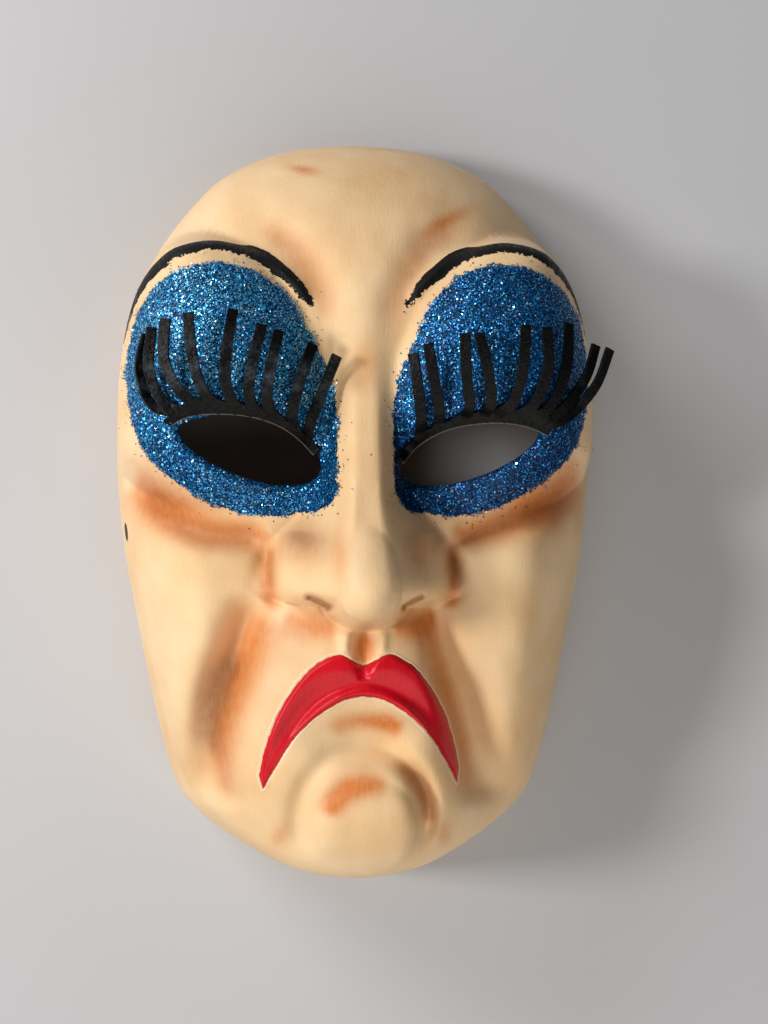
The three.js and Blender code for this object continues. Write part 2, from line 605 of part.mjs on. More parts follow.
// A point of the strip after that length, at an offset up from its lower edge, and the way it faces
function onStrip(line, run, length, offset) {
  const REACH = 2;
  const [x, y] = placeOn(line, run, length);
  const [ax, ay] = placeOn(line, run, length - REACH);
  const [bx, by] = placeOn(line, run, length + REACH);
  const size = Math.hypot(bx - ax, by - ay);
  const [tx, ty] = [(bx - ax) / size, (by - ay) / size];
  const top = height(x - 3.4 * ty, y + 3.4 * tx) + LEATHER_LIFT;
  return {
    point: new THREE.Vector3(x - ty * offset, y + tx * offset, top - BAND_SLOPE * (BAND_WIDTH - offset)),
    out: new THREE.Vector3(ty * BAND_SLOPE, -tx * BAND_SLOPE, 1).normalize(),
  };
}

function strip(line, run) {
  const COUNT = 20;
  const rings = [];
  for (let i = 0; i <= COUNT; i++) {
    const length = run[run.length - 1] * i / COUNT;
    const [low, high] = [0, BAND_WIDTH].map((offset) => onStrip(line, run, length, offset));
    const at = (edge, half) => edge.point.clone().addScaledVector(edge.out, half).toArray();
    rings.push([at(low, -LASH_THICK / 2), at(high, -LASH_THICK / 2), at(high, LASH_THICK / 2),
      at(low, LASH_THICK / 2)]);
  }
  return loft(rings);
}

// One lash: it starts inside the strip, bends up off the face, and is turned about its length
function lash(band, bandRun, { line, turn }, number) {
  const EDGE = 64;
  const gaps = band.map(([x, y]) => Math.hypot(x - line[0][0], y - line[0][1]));
  const start = bandRun[gaps.indexOf(Math.min(...gaps))];
  const base = onStrip(band, bandRun, start, 0.55 * BAND_WIDTH);
  const path = smooth([[base.point.x, base.point.y], ...line.slice(1)], 10);
  const run = runOf(path);
  const middle = (share) => {
    const t = clamp(share);
    const [x, y] = placeOn(path, run, t * run[run.length - 1]);
    const z = height(clamp(x, -EDGE, EDGE), y) + LEATHER_LIFT + LASH_RISE * t ** 0.9;
    return new THREE.Vector3(x, y, lerp(base.point.z + 0.12 + 0.03 * number + 14 * t, z, step(t, 0, 0.22)));
  };
  const rings = [0, 0.09, 0.2, 0.38, 0.58, 0.8, 1].map((t) => {
    const point = middle(t);
    const ahead = middle(t + 0.03).sub(middle(t - 0.03)).normalize();
    const off = normalAt(clamp(point.x, -EDGE, EDGE), point.y, 3).multiplyScalar(0.5);
    off.add(new THREE.Vector3(0, -0.06, 0.5));
    const out = base.out.clone().lerp(off, step(t, 0, 0.35));
    const across = new THREE.Vector3().crossVectors(ahead, out).normalize();
    across.applyAxisAngle(ahead, THREE.MathUtils.degToRad(turn) * step(t, 0.02, 0.5));
    const thick = new THREE.Vector3().crossVectors(across, ahead);
    const half = LASH_WIDTH / 2 * (1 - 0.06 * t);
    const at = (a, b) => point.clone().addScaledVector(across, a).addScaledVector(thick, b).toArray();
    return [at(-half, -LASH_THICK / 2), at(half, -LASH_THICK / 2), at(half, LASH_THICK / 2),
      at(-half, LASH_THICK / 2)];
  });
  return loft(rings);
}

// The strip and its lashes are one piece of leather
function fringe(side, filled) {
  const band = smooth(BANDS[side], 12);
  const run = runOf(band);
  let body = strip(band, run);
  LASHES[side].forEach((cut, number) => {
    body = body.add(lash(band, run, cut, number));
  });
  // Crumbs that the clear space cuts off are dropped
  const pieces = body.subtract(filled).decompose().sort((a, b) => b.volume() - a.volume());
  return pieces[0];
}

// The mask
const paint = new THREE.MeshStandardMaterial({ color: 0xe2b98a, roughness: 0.55, metalness: 0 });
const leather = new THREE.MeshStandardMaterial({ color: 0x14151a, roughness: 0.38, metalness: 0 });

const mask = new THREE.Group();
const shell = new THREE.Mesh(toGeometry(shellSolid()), paint);
shell.name = 'mask_shell';
mask.add(shell);
const filled = keepOff();
for (const side of ['left', 'right']) {
  const lashes = new THREE.Mesh(toGeometry(fringe(side, filled)), leather.clone());
  lashes.name = `lash_fringe_${side}`;
  mask.add(lashes);
}

export default mask;
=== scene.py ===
"""A hollow papier-mache stage mask: painted frown, glitter round the eyes and lashes cut from leather.

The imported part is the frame: the mask lies on its rim at z = 0, +Y is its forehead and +Z the way it
faces. The face is shaped by formulas in millimetres, and turned to metres when a mesh is made.
"""

import math

import bmesh
import bpy
import numpy as np
from mathutils import Matrix, Vector


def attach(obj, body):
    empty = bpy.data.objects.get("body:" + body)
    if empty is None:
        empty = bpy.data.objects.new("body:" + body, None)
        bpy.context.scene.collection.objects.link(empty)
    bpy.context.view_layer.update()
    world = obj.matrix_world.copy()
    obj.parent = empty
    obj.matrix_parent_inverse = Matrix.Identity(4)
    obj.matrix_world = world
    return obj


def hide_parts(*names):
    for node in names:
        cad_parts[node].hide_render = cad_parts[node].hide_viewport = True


bl_info = {
    "name": "Stage mask",
    "version": (1, 0, 0),
    "blender": (4, 5, 0),
    "location": "View3D > Sidebar > Mask",
    "description": "A painted papier-mache mask with glitter and leather lashes",
    "category": "Add Mesh",
}

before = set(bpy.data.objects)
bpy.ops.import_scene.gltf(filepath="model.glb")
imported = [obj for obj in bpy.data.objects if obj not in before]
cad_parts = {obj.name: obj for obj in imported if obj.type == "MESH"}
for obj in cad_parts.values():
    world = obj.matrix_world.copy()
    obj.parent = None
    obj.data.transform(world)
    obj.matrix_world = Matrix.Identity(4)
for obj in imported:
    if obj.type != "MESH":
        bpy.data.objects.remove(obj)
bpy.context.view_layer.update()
MM = 0.001
BODY = "root"

# Driving sizes, in millimetres, as in the part
WALL = 3.0
DOME = 71.0
BRIDGE_HALF = 4.2
EYE_ROLL = 3.0
BAND_WIDTH = 2.6
LASH_WIDTH = 3.3
LASH_THICK = 1.0
LASH_RISE = 7.3
LEATHER_LIFT = 0.9
# The grid that the inside is worked out on: its step, and how far it reaches in x and in y
GRID_STEP = 1.0
GRID_REACH = (84, 128)

# Middles and half widths (x, y) of the rounded forms, on the +X side where there are two, and how
# many degrees the mound round the eye is turned. The mole is on the other cheek
MOUND, MOUND_SIZE, MOUND_TURN = (41.5, 38), (37.5, 46), -13
WING, WING_SIZE = (15.6, -17), (9.7, 10.6)
TIP, TIP_SIZE = (0, -23.6), 9.2
MUZZLE, MUZZLE_SIZE = (0, -62), (43, 52)
CHIN, CHIN_SIZE = (0, -91), (16.2, 17.4)
MOLE, MOLE_RADIUS = (-73.1, -7.6), 3.0

# Outlines and lines on the +X side (x, y): the rim from the crown to the chin, the eye opening, the
# glitter round it, the upper and the lower edge of the lips, the line between them, the brow, the
# fold beside the mouth and the socket round the chin
RIM = [(0, 122.1), (24, 119.4), (43, 111.4), (54.5, 100.6), (65, 86.5), (73, 70), (77.4, 50), (79, 28),
       (78.6, 6), (76.4, -14), (72.8, -34), (68.8, -54), (64.4, -74), (59.8, -89.5), (54.6, -98),
       (46, -105.4), (34, -113), (19, -119.7), (0, -122.1)]
EYE = [(11.6, 13.6), (14.5, 19.4), (22, 24.4), (31.5, 27), (40, 27.2), (48, 25.8), (53, 23.4),
       (51.3, 18.9), (45.5, 14.2), (36.5, 9.8), (26.5, 7), (17.5, 6.8), (12.6, 9.4)]
GLITTER = [(8.4, 24), (9.2, 34.5), (13, 45), (17.8, 55), (22.8, 63), (30.5, 69), (39.5, 71.8), (50, 70.8),
           (58.8, 67.2), (63.8, 62.3), (67.8, 55), (69.4, 46), (69.2, 35), (66.8, 24.5), (62.5, 15.5),
           (55.5, 8.8), (46.5, 2.8), (37, -1), (27, -2.4), (19, -1.5), (12.6, -0.4), (8.9, 4.2), (8.5, 13)]
LIP_TOP = [(0, -46), (2.6, -44.6), (6.4, -42.5), (10.2, -43.2), (15.8, -47), (21.2, -54), (25.2, -61.5),
           (28, -70), (29.6, -77.5), (28.8, -82)]
LIP_BOTTOM = [(26.2, -77), (21.5, -69), (17, -63.4), (11, -58.3), (5, -55.2), (0, -54.3)]
LIP_LINE = [(28.2, -80), (24.6, -72.2), (20.2, -64.2), (15.2, -57.8), (10.2, -53.9), (5, -51.5),
            (0, -50.6)]
BROW = [(14.6, 60.8), (18.7, 66.2), (23.5, 70.6), (30, 75.6), (37.5, 78.1), (45, 78.8), (53, 77),
        (59.4, 73.8), (64.6, 69.6), (69.2, 63.2), (73.5, 53)]
FOLD = [(24, -25), (27.9, -34), (31, -46), (35.8, -58), (39, -70), (39.6, -81), (38, -92)]
CHIN_SOCKET = [(18.5, -100), (18.4, -90), (15, -79.5), (8, -73), (0, -71)]

# The ridge of the nose from under its tip to the forehead (y, z)
RIDGE = [(-60, -60), (-34, 50), (-31, 70), (-28.4, 89), (-26, 98), (-22, 101), (-14, 98), (-4, 93),
         (6, 87.4), (18, 81), (32, 74.6), (46, 70.5), (60, 67), (78, 45), (130, -60)]
# Where the features stand off the middle towards +X (y, x)
LEAN = [(-130, 2.6), (-98, 2.6), (-88, 2.5), (-75, 1.7), (-62, 1), (-50, 0.8), (-40, 0.9), (-33, 1.5),
        (-24, 2.1), (-14, 1.7), (0, 1.5), (28, 1.4), (60, 0), (130, 0)]

# The strip that the lashes are cut from follows the upper edge of each opening (x, y)
BANDS = {
    "left": [(-55.6, 23.2), (-52.5, 25.2), (-48.5, 26.5), (-43, 27), (-35, 26.7), (-28, 25.3),
             (-22.1, 22.8), (-17.2, 19.2), (-13.6, 15.5)],
    "right": [(12.9, 13.2), (17.2, 18.2), (23.4, 22), (30.6, 24), (37.8, 24.7), (44.3, 24.4), (50, 23.2),
              (54.6, 21.2)],
}
# Each lash: four points of its middle line from root to tip (x, y), and its turn about its own
# length in degrees. The outermost one on the left is seen edge on
LASHES = {
    "left": [
        ((-52, 25), (-60.4, 29.6), (-64, 41), (-61.6, 50), -58),
        ((-50, 26), (-55.6, 29), (-61, 39.6), (-60.1, 51.8), -16),
        ((-44.4, 27.2), (-50, 31.2), (-56.2, 41.4), (-56.1, 54.1), 2),
        ((-38.6, 27.2), (-44, 31.4), (-48.1, 42), (-49.4, 55.6), 6),
        ((-32.4, 26.6), (-37, 30.2), (-39, 40.3), (-36.7, 56.5), -4),
        ((-28, 25.6), (-32, 30.2), (-31.6, 39.8), (-28.5, 52.4), 5),
        ((-23.6, 23.6), (-27, 29.2), (-26.3, 39.4), (-23.7, 50.8), -3),
        ((-19, 21.3), (-20, 27), (-17.4, 38), (-13.9, 47.5), 4),
        ((-15.6, 18.6), (-14.8, 24.6), (-10.4, 35.7), (-7, 44.2), 6),
    ],
    "right": [
        ((18.8, 19), (17.8, 25), (16.2, 37.4), (15, 44.9), 2),
        ((23.8, 22.4), (22.8, 28), (20.4, 40.7), (19.2, 47.5), -3),
        ((29, 23.8), (31.2, 28), (30.2, 38.2), (29.5, 50.1), 3),
        ((34, 24.6), (37.2, 29), (36.5, 38.1), (33.5, 50), -2),
        ((38.6, 25), (43.4, 29.8), (46.3, 39.3), (47, 52.4), 2),
        ((43.2, 25), (49.4, 29.2), (53.8, 40.1), (53.3, 52.1), 4),
        ((47.6, 24.6), (54.2, 28.8), (59.6, 40.4), (60.6, 53.9), 2),
        ((51, 23.8), (58.2, 28.2), (65.9, 37.9), (69.1, 47.9), -4),
        ((52.4, 22.6), (60.4, 26.4), (68.8, 35.5), (73.2, 46.7), -8),
    ],
}
# Past this x the lashes stand out over the edge, and their height is taken from here
LASH_GROUND = 64

# Glitter: the lowest and the highest corner its flakes are drawn between (x, y), their sizes beside
# a middling one and how often each comes, how high they sit in the glue, and how thick one is
GLITTER_BOX = [[1, -14], [80, 84]]
FLAKE_SIZES, FLAKE_SHARES = (0.72, 1.0, 1.25), (0.35, 0.45, 0.2)
FLAKE_LIFT = (0.06, 0.42)
FLAKE_DEPTH = 0.16
FLAKES_PER_TRY = 60000
# Glitter lightness on each side, 0 navy to 1 silver, the right darker as painted shade, and its random
# draw
GLITTER_TONE_AND_SHADE = {"left": 0.62, "right": 0.33}
GLITTER_DRAW = {"left": 71, "right": 72}

# The camera: its distance in metres, its turn in degrees, the point it looks at in millimetres, and
# its focal length beside the height of the frame
CAMERA_DISTANCE = 0.45
CAMERA_TURN = 3.0
CAMERA_TARGET = (7.4, -1.2, 65.0)
FOCAL_SHARE = 1500 / 1024

# Lights: place in metres, size, watts and colour. A window on the left, a higher one over the
# forehead, and a pale reflector below the chin
LIGHTS = {
    "window": ((-0.84, 0.05, 0.74), 0.2, 6.5, (1.0, 0.97, 0.94)),
    "high_window": ((-0.62, 0.58, 0.52), 0.4, 4.6, (1.0, 0.985, 0.97)),
    "reflector": ((0.1, -0.72, 0.80), 1.2, 7.0, (1.0, 0.96, 0.90)),
}
LIGHT_TARGET = (0, 0, 0.05)
ROOM_COLOUR = (1.0, 0.98, 0.96, 1.0)
ROOM_LIGHT = 0.1


# Small functions for numbers and curves

def ramp(t):
    """0 up to 0, 1 from 1, and a smooth rise between them."""
    t = np.clip(t, 0, 1)
    return t * t * (3 - 2 * t)


def step(x, a, b):
    """A smooth rise from 0 at a to 1 at b."""
    return ramp((x - a) / (b - a))


def soft_max(a, b, k):
    """The higher of two surfaces, blended where they are less than k apart."""
    h = np.clip(0.5 + 0.5 * (a - b) / k, 0, 1)
    return b * (1 - h) + a * h + k * h * (1 - h)


def bell(x, y, cx, cy, rx, ry, power=1.0):
    """1 at its middle, falling off over rx and ry; a higher power flattens its top."""
    return np.exp(-(((x - cx) / rx) ** 2 + ((y - cy) / ry) ** 2) ** power)


def tilted_bell(x, y, cx, cy, rx, ry, degrees):
    c, s = math.cos(math.radians(degrees)), math.sin(math.radians(degrees))
    return bell((x - cx) * c + (y - cy) * s, (y - cy) * c - (x - cx) * s, 0, 0, rx, ry)


def curve_through(points, steps, closed=False):
    """A smooth curve through points, with the same number of steps to each span."""
    p = np.asarray(points, float)
    m = len(p)
    t = np.linspace(0, 1, steps, endpoint=False)[:, None]
    out = []
    for i in range(m if closed else m - 1):
        b, c = p[i], p[(i + 1) % m]
        a = p[i - 1] if closed or i else 2 * b - c
        d = p[(i + 2) % m] if closed or i + 2 < m else 2 * c - b
        out.append(0.5 * (2 * b + (c - a) * t + (2 * a - 5 * b + 4 * c - d) * t ** 2
                          + (3 * b - a - 3 * c + d) * t ** 3))
    if not closed:
        out.append(p[-1:])
    return np.vstack(out)


def mirrored(half):
    """A path that starts at one side and crosses the middle, from its half."""
    return list(half) + [(-x, y) for x, y in reversed(half[:-1])]


def near_path(x, y, path):
    """Distance to a path, the share of its length passed there, and +1 on its left, -1 on its right."""
    edge = path[1:] - path[:-1]
    length = np.hypot(edge[:, 0], edge[:, 1])
    start = np.concatenate([[0], np.cumsum(length)])
    best = np.full(x.shape, 1e9)
    share = np.zeros(x.shape)
    side = np.ones(x.shape)
    for i, (ex, ey) in enumerate(edge):
        dx, dy = x - path[i, 0], y - path[i, 1]
        t = np.clip((dx * ex + dy * ey) / length[i] ** 2, 0, 1)
        d = np.hypot(dx - t * ex, dy - t * ey)
        nearer = d < best
        best = np.where(nearer, d, best)
        share = np.where(nearer, (start[i] + t * length[i]) / start[-1], share)
        side = np.where(nearer, np.where(ex * dy - ey * dx >= 0, 1.0, -1.0), side)
    return best, share, side


def along(values, share):
    """A number, or numbers spread evenly along a path, at a share of its length."""
    if np.isscalar(values):
        return values
    return np.interp(share, np.linspace(0, 1, len(values)), values)


def stroke(x, y, points, width, height, ends=0.12, left_width=None, both=True, power=2):
    """A soft ridge along a path, or a groove where height is negative. left_width is its width on
    the left of the path, where that differs, and a higher power gives it steeper sides."""
    path = curve_through(points, 8)
    reach = 3 * max(np.max(width), np.max(left_width if left_width is not None else width))
    total = np.zeros(x.shape)
    for sign in (1, -1) if both else (1,):
        near = ((sign * x > path[:, 0].min() - reach) & (sign * x < path[:, 0].max() + reach)
                & (y > path[:, 1].min() - reach) & (y < path[:, 1].max() + reach))
        if not near.any():
            continue
        d, share, side = near_path(sign * x[near], y[near], path)
        w = along(width, share)
        if left_width is not None:
            w = np.where(side > 0, along(left_width, share), w)
        fade = ramp(share / ends) * ramp((1 - share) / ends) if ends else 1.0
        total[near] += along(height, share) * np.exp(-(d / w) ** power) * fade
    return total


def outline_distance(x, y, outline):
    """Signed distance to a closed outline, negative inside."""
    best = np.full(x.shape, 1e18)
    inside = np.zeros(x.shape, bool)
    for (ax, ay), (bx, by) in zip(outline, np.roll(outline, -1, axis=0)):
        ex, ey = bx - ax, by - ay
        t = np.clip(((x - ax) * ex + (y - ay) * ey) / (ex * ex + ey * ey + 1e-12), 0, 1)
        best = np.minimum(best, (x - ax - ex * t) ** 2 + (y - ay - ey * t) ** 2)
        crosses = (ay > y) != (by > y)
        inside ^= crosses & (x < ax + (y - ay) / (by - ay + 1e-18) * ex)
    return np.where(inside, -1, 1) * np.sqrt(best)


def waves(x, y, length, seed, count=9):
    """Gentle unevenness between about -1 and 1, of that wave length."""
    draw = np.random.default_rng(seed)
    total = np.zeros(np.shape(x))
    for _ in range(count):
        angle, phase = draw.uniform(0, 2 * math.pi, 2)
        k = 2 * math.pi / (length * draw.uniform(0.7, 1.5))
        total = total + np.sin(k * (x * math.cos(angle) + y * math.sin(angle)) + phase)
    return total / math.sqrt(count) / 1.4


# The face

RIM_FINE = curve_through(RIM + [(-x, y) for x, y in reversed(RIM[1:-1])], 24, True)
RIM_ORDER = np.argsort(np.arctan2(RIM_FINE[:, 1], RIM_FINE[:, 0]))
RIM_ANGLE = np.arctan2(RIM_FINE[:, 1], RIM_FINE[:, 0])[RIM_ORDER]
RIM_REACH = np.hypot(RIM_FINE[:, 0], RIM_FINE[:, 1])[RIM_ORDER]
EYE_FINE = curve_through(EYE, 6, True)
# No edge of an eye opening is further from the middle of the mask
EYE_REACH = 67
GLITTER_FINE = curve_through(GLITTER, 5, True)
RIDGE_FINE = curve_through(RIDGE, 8)
LEAN_FINE = curve_through(LEAN, 8)
LIP_HALF = np.vstack([curve_through(LIP_TOP, 6), curve_through(LIP_BOTTOM, 6)])
LIPS_FINE = np.vstack([LIP_HALF, (LIP_HALF * (-1, 1))[-2:0:-1]])


def rim_radius(angle):
    """How far the rim is from the middle in a direction."""
    return np.interp(angle, RIM_ANGLE, RIM_REACH, period=2 * math.pi)


def lean(x, y):
    """The hand-made features stand a little off the middle: x as they take it."""
    return x - np.interp(y, LEAN_FINE[:, 0], LEAN_FINE[:, 1]) * np.exp(-(x / 20) ** 2)


def fold_lean(x, y):
    """The folds beside the mouth stand further to -X than the mouth does: x as they take it."""
    return x + 6.4 * bell(np.abs(x), y, 35, -48, 20, 44, 2)


def under_eye_y(x, y):
    """The groove under the left eye hangs lower than the other: y as both take it."""
    return y + 3.6 * bell(x, y, -56, 0, 20, 18, 2)


def nose(fx, y):
    """A ridge with flat sides that spread towards two blocky wings, and a round tip."""
    ax = np.abs(fx)
    ridge = np.interp(y, RIDGE_FINE[:, 0], RIDGE_FINE[:, 1])
    slope = (1.9 - 0.72 * step(-y, -8, 12)) * (1 - 0.5 * step(y, 16, 48))
    half = BRIDGE_HALF + 1.8 * step(-y, -6, 18)
    z = ridge - soft_max(0 * ax, slope * (ax - half), 2.4) - 2 * np.maximum(0, ax - 40)
    above = y - TIP[1]
    q = np.hypot(fx / TIP_SIZE, above / (8.6 + 9.4 * step(above, -1, 6)))
    tip = 94.6 + 9.3 * np.sqrt(np.clip(1 - q * q, 0, None)) - 0.3 * np.maximum(0, above)
    tip = tip - (24 + 10 * step(-above, 0, 6)) * np.maximum(0, q - 1)
    z = soft_max(z, tip, 2.2 + 3.5 * step(above, -3, 5))
    box = np.abs((ax - WING[0]) / WING_SIZE[0]) ** 3.4 + np.abs((y - WING[1]) / WING_SIZE[1]) ** 3.2
    tilt = (16 - ax) * (0.5 - 0.1 * step(-y, 17, 25))
    wing = 72 + 13.5 * np.clip(1 - box, 0, None) ** 0.42 + tilt - 26 * np.clip(box - 1, 0, None)
    return soft_max(z, wing, 2.2)


def dome(x, y, rho, up, down):
    """The plain shell under the features, squarer towards the crown and below the cheeks."""
    low = step(down - up, -0.55, 0.15)
    z = DOME * np.sqrt(np.clip(1 - rho ** (2.5 + 1.1 * up + 2 * low), 0, None))
    return z + 5 * bell(x, y, 0, 72, 40, 30, 1.1) * (1 - step(rho, 0.74, 0.97))


def eye_mound(ax, y):
    """The egg-shaped mound that the glitter covers."""
    c, s = math.cos(math.radians(MOUND_TURN)), math.sin(math.radians(MOUND_TURN))
    u, v = ax - MOUND[0], y - MOUND[1]
    q = np.hypot((u * c + v * s) / MOUND_SIZE[0], (v * c - u * s) / MOUND_SIZE[1])
    return 80.5 - 12.5 * q ** 2 - 15 * q ** 8


def height(x, y):
    """Height of the face over the plane of the rim."""
    x, y = np.asarray(x, float), np.asarray(y, float)
    angle = np.arctan2(y, x)
    rho = np.minimum(1, np.hypot(x, y) / rim_radius(angle))
    up, down = np.maximum(0, np.sin(angle)), np.maximum(0, -np.sin(angle))
    fade = 1 - step(rho, 0.88, 1)
    fx = lean(x, y)
    ax, ax0 = np.abs(fx), np.abs(x)
    z = dome(x, y, rho, up, down)
    z = z - 2.6 * bell(ax, y, 14, 36, 12, 26) * fade
    z = z + (soft_max(z, eye_mound(ax0, y), 3) - z) * fade
    z = z + stroke(fx, y, [(8, 48), (9.5, 58), (14, 69), (22, 79.5), (33, 87), (46, 90)],
                   (5.4, 5.8, 6.2, 7, 8, 9), (-1, -2, -2.6, -2.2, -1.5, -0.5), 0.3) * fade
    # Cheek, the groove under the eye, the ground round the mouth and the fold beside it
    z = z + 3 * bell(ax, y, 54, -20, 17, 15) * fade + 6.5 * bell(ax, y, 50, -48, 14, 38) * fade
    under_eye = [(74, 17), (68.5, 10), (61, 3.4), (52, -1.8), (42, -6.3), (32, -9.2), (26, -10.2)]
    z = z + stroke(fx, under_eye_y(x, y), under_eye,
                   (7, 7.4, 7.2, 6.6, 5.8, 4.8, 4.2), (-2, -4, -5.4, -6, -6, -5.6, -4), 0.12,
                   left_width=(6, 6, 5.4, 4.6, 4, 3.6, 3.4)) * fade
    mx = fold_lean(x, y)
    muzzle = 83 - 20 * np.hypot(np.abs(mx) / MUZZLE_SIZE[0], (y - MUZZLE[1]) / MUZZLE_SIZE[1]) ** 2.8
    z = z + (soft_max(z, muzzle, 4) - z) * fade
    fold = stroke(mx, y, FOLD, (4, 5, 5.6, 6, 6.2, 6.2, 6), (3, 7, 10.5, 12.5, 12.5, 9.5, 3.5), 0.1,
                  left_width=(5, 6, 7, 8, 8.6, 8.4, 8))
    z = z - fold * (1 - 0.22 * step(fx, -6, 6)) * fade
    # Chin: a hollow under the lip, a socket, and the ball in it
    z = z - 6 * bell(fx, y, 0, -67.5, 15, 7, 1.2) * fade
    rise = (y - CHIN[1]) / CHIN_SIZE[1]
    q = np.hypot(fx / CHIN_SIZE[0], rise)
    lift = np.clip(rise / np.maximum(q, 0.01), -1, 1)
    depth = (2.6 + 3.2 * (1 - lift ** 2)) * step(lift, -0.75, -0.1)
    depth = depth * (0.62 + 0.4 * step(fx, -9, 9))
    z = z - depth * np.exp(-((q - 1.2) / 0.19) ** 2) * fade
    ball = 84.6 - 4.4 * q ** 2 - 7 * q ** 8
    z = z + (soft_max(z, ball, 0.7 + 9 * step(-y, 92, 108)) - z) * fade
    # Everything rounds over towards the rim
    cap = 86 * np.sqrt(np.clip(1 - rho ** (6 + 2.5 * down ** 2), 0, None))
    z = -soft_max(-z, -cap, 5)
    z = soft_max(z, nose(fx, y), 1.7 + 6 * step(y, 8, 44))
    z = z + stroke(fx, y, [(18, -25.2), (14, -26.6), (9.8, -29.8)], (0.9, 1.1, 1.3), (-3, -5, -5), 0.2)
    z = z + stroke(fx, y, [(25.6, -7), (27.4, -13), (27.2, -22), (23.5, -30)], (3, 3.3, 3.2, 2.8),
                   (-2, -4.2, -4.2, -2), 0.2)
    lip = outline_distance(fx, y, LIPS_FINE)
    middle = bell(fx, y, 0, -48, 9, 7)
    z = z + 0.9 * ramp(-lip / 1.1) - 0.8 * (1 - middle) * ramp(-lip / 6.5) + middle * ramp(-lip / 5)
    z = z + stroke(fx, y, mirrored(LIP_LINE), 3.4, (-0.4, -1.8, -2.2, -1.8, -0.4), 0.04, left_width=1.3,
                   both=False)
    z = z + stroke(fx, y, [(0, -46), (0, -50)], (2, 1.5), -1.2, 0.2, both=False)
    z = z + stroke(fx, y, [(0, -37), (0, -41), (0, -44.2)], (3.2, 3.4, 2.6), -3.2, 0, both=False, power=3)
    z = z + stroke(fx, y, [(5.4, -35), (5.5, -39), (5.2, -43)], 1.7, 1.1, 0.3)
    z = z + stroke(fx, y, BROW, 2.1, (1.2, 1.6, 1.6, 1.5, 1.2), 0.05) * fade
    # The hand-laid paper is never quite even
    z = z + (0.22 * waves(x, y, 26, 3) + 0.10 * waves(x, y, 9, 4)) * (1 - step(rho, 0.9, 1))
    # The edge of the eye opening is rolled inwards
    roll = np.clip(1 - outline_distance(ax0, y, EYE_FINE) / EYE_ROLL, 0, 1)
    z = z - EYE_ROLL * (1 - np.sqrt(np.clip(1 - roll ** 2, 0, None)))
    return np.maximum(0, z)


def normal_at(x, y, reach=0.3):
    """Directions straight out of the face, from its slope over twice the reach."""
    dx = (height(x + reach, y) - height(x - reach, y)) / (2 * reach)
    dy = (height(x, y + reach) - height(x, y - reach)) / (2 * reach)
    n = np.stack([-dx, -dy, np.ones_like(dx)], -1)
    return n / np.linalg.norm(n, axis=-1, keepdims=True)


def inside_surface():
    """Heights on a grid under the face: a ball of the wall's radius is rolled below it."""
    xs, ys = (np.arange(-reach, reach + GRID_STEP, GRID_STEP) for reach in GRID_REACH)
    gx, gy = np.meshgrid(xs, ys)
    top = height(gx.ravel(), gy.ravel()).reshape(gx.shape)
    # Low outside the rim, so that the ball also keeps clear of the outline
    outside = np.hypot(gx, gy) >= rim_radius(np.arctan2(gy, gx))
    top[outside] = -30
    under = np.full(top.shape, 1e9)
    reach = int(WALL / GRID_STEP)
    for j in range(-reach, reach + 1):
        for i in range(-reach, reach + 1):
            room = WALL ** 2 - (i * i + j * j) * GRID_STEP ** 2
            if room >= 0:
                under = np.minimum(under, np.roll(top, (j, i), (0, 1)) - math.sqrt(room))
    # Smoothed, so that narrow hollows fill with paper, and the wall is nowhere thinner for it
    soft = np.zeros(top.shape)
    weight = 0
    for j in range(-3, 4):
        for i in range(-3, 4):
            w = math.exp(-(i * i + j * j) / 6)
            soft += w * np.maximum(0, np.roll(under, (j, i), (0, 1)))
            weight += w
    return xs, ys, np.minimum(under, soft / weight)


def sample(surface, x, y):
    """The inside's heights between the points of its grid."""
    xs, ys, z = surface
    fx = np.clip((x - xs[0]) / GRID_STEP, 0, len(xs) - 1.001)
    fy = np.clip((y - ys[0]) / GRID_STEP, 0, len(ys) - 1.001)
    i, j = fx.astype(int), fy.astype(int)
    u, v = fx - i, fy - j
    low = z[j, i] * (1 - u) + z[j, i + 1] * u
    high = z[j + 1, i] * (1 - u) + z[j + 1, i + 1] * u
    return np.maximum(0, low * (1 - v) + high * v)


# Paint, as signed distances and amounts at each point of the face

def brow_edge(x, y):
    """Signed distance to the painted brow and how ragged its edge is. The brow narrows where the side
    of the face turns away, and ends above the rim."""
    path = curve_through(BROW, 8)
    d, share, side = near_path(np.abs(x), y, path)
    half = along((1.1, 2.1, 2.4, 2.3, 2.3, 2.4, 2.8, 3.5, 4.4), share)
    facing = np.clip(1.7 * normal_at(x, y)[:, 2], 0.5, 1)
    half = half * facing * step(height(x, y), 14, 32)
    rag = np.where(side > 0, 0.2, 1.05) + 1.1 * (1 - step(share, 0, 0.14))
    return d - half, rag


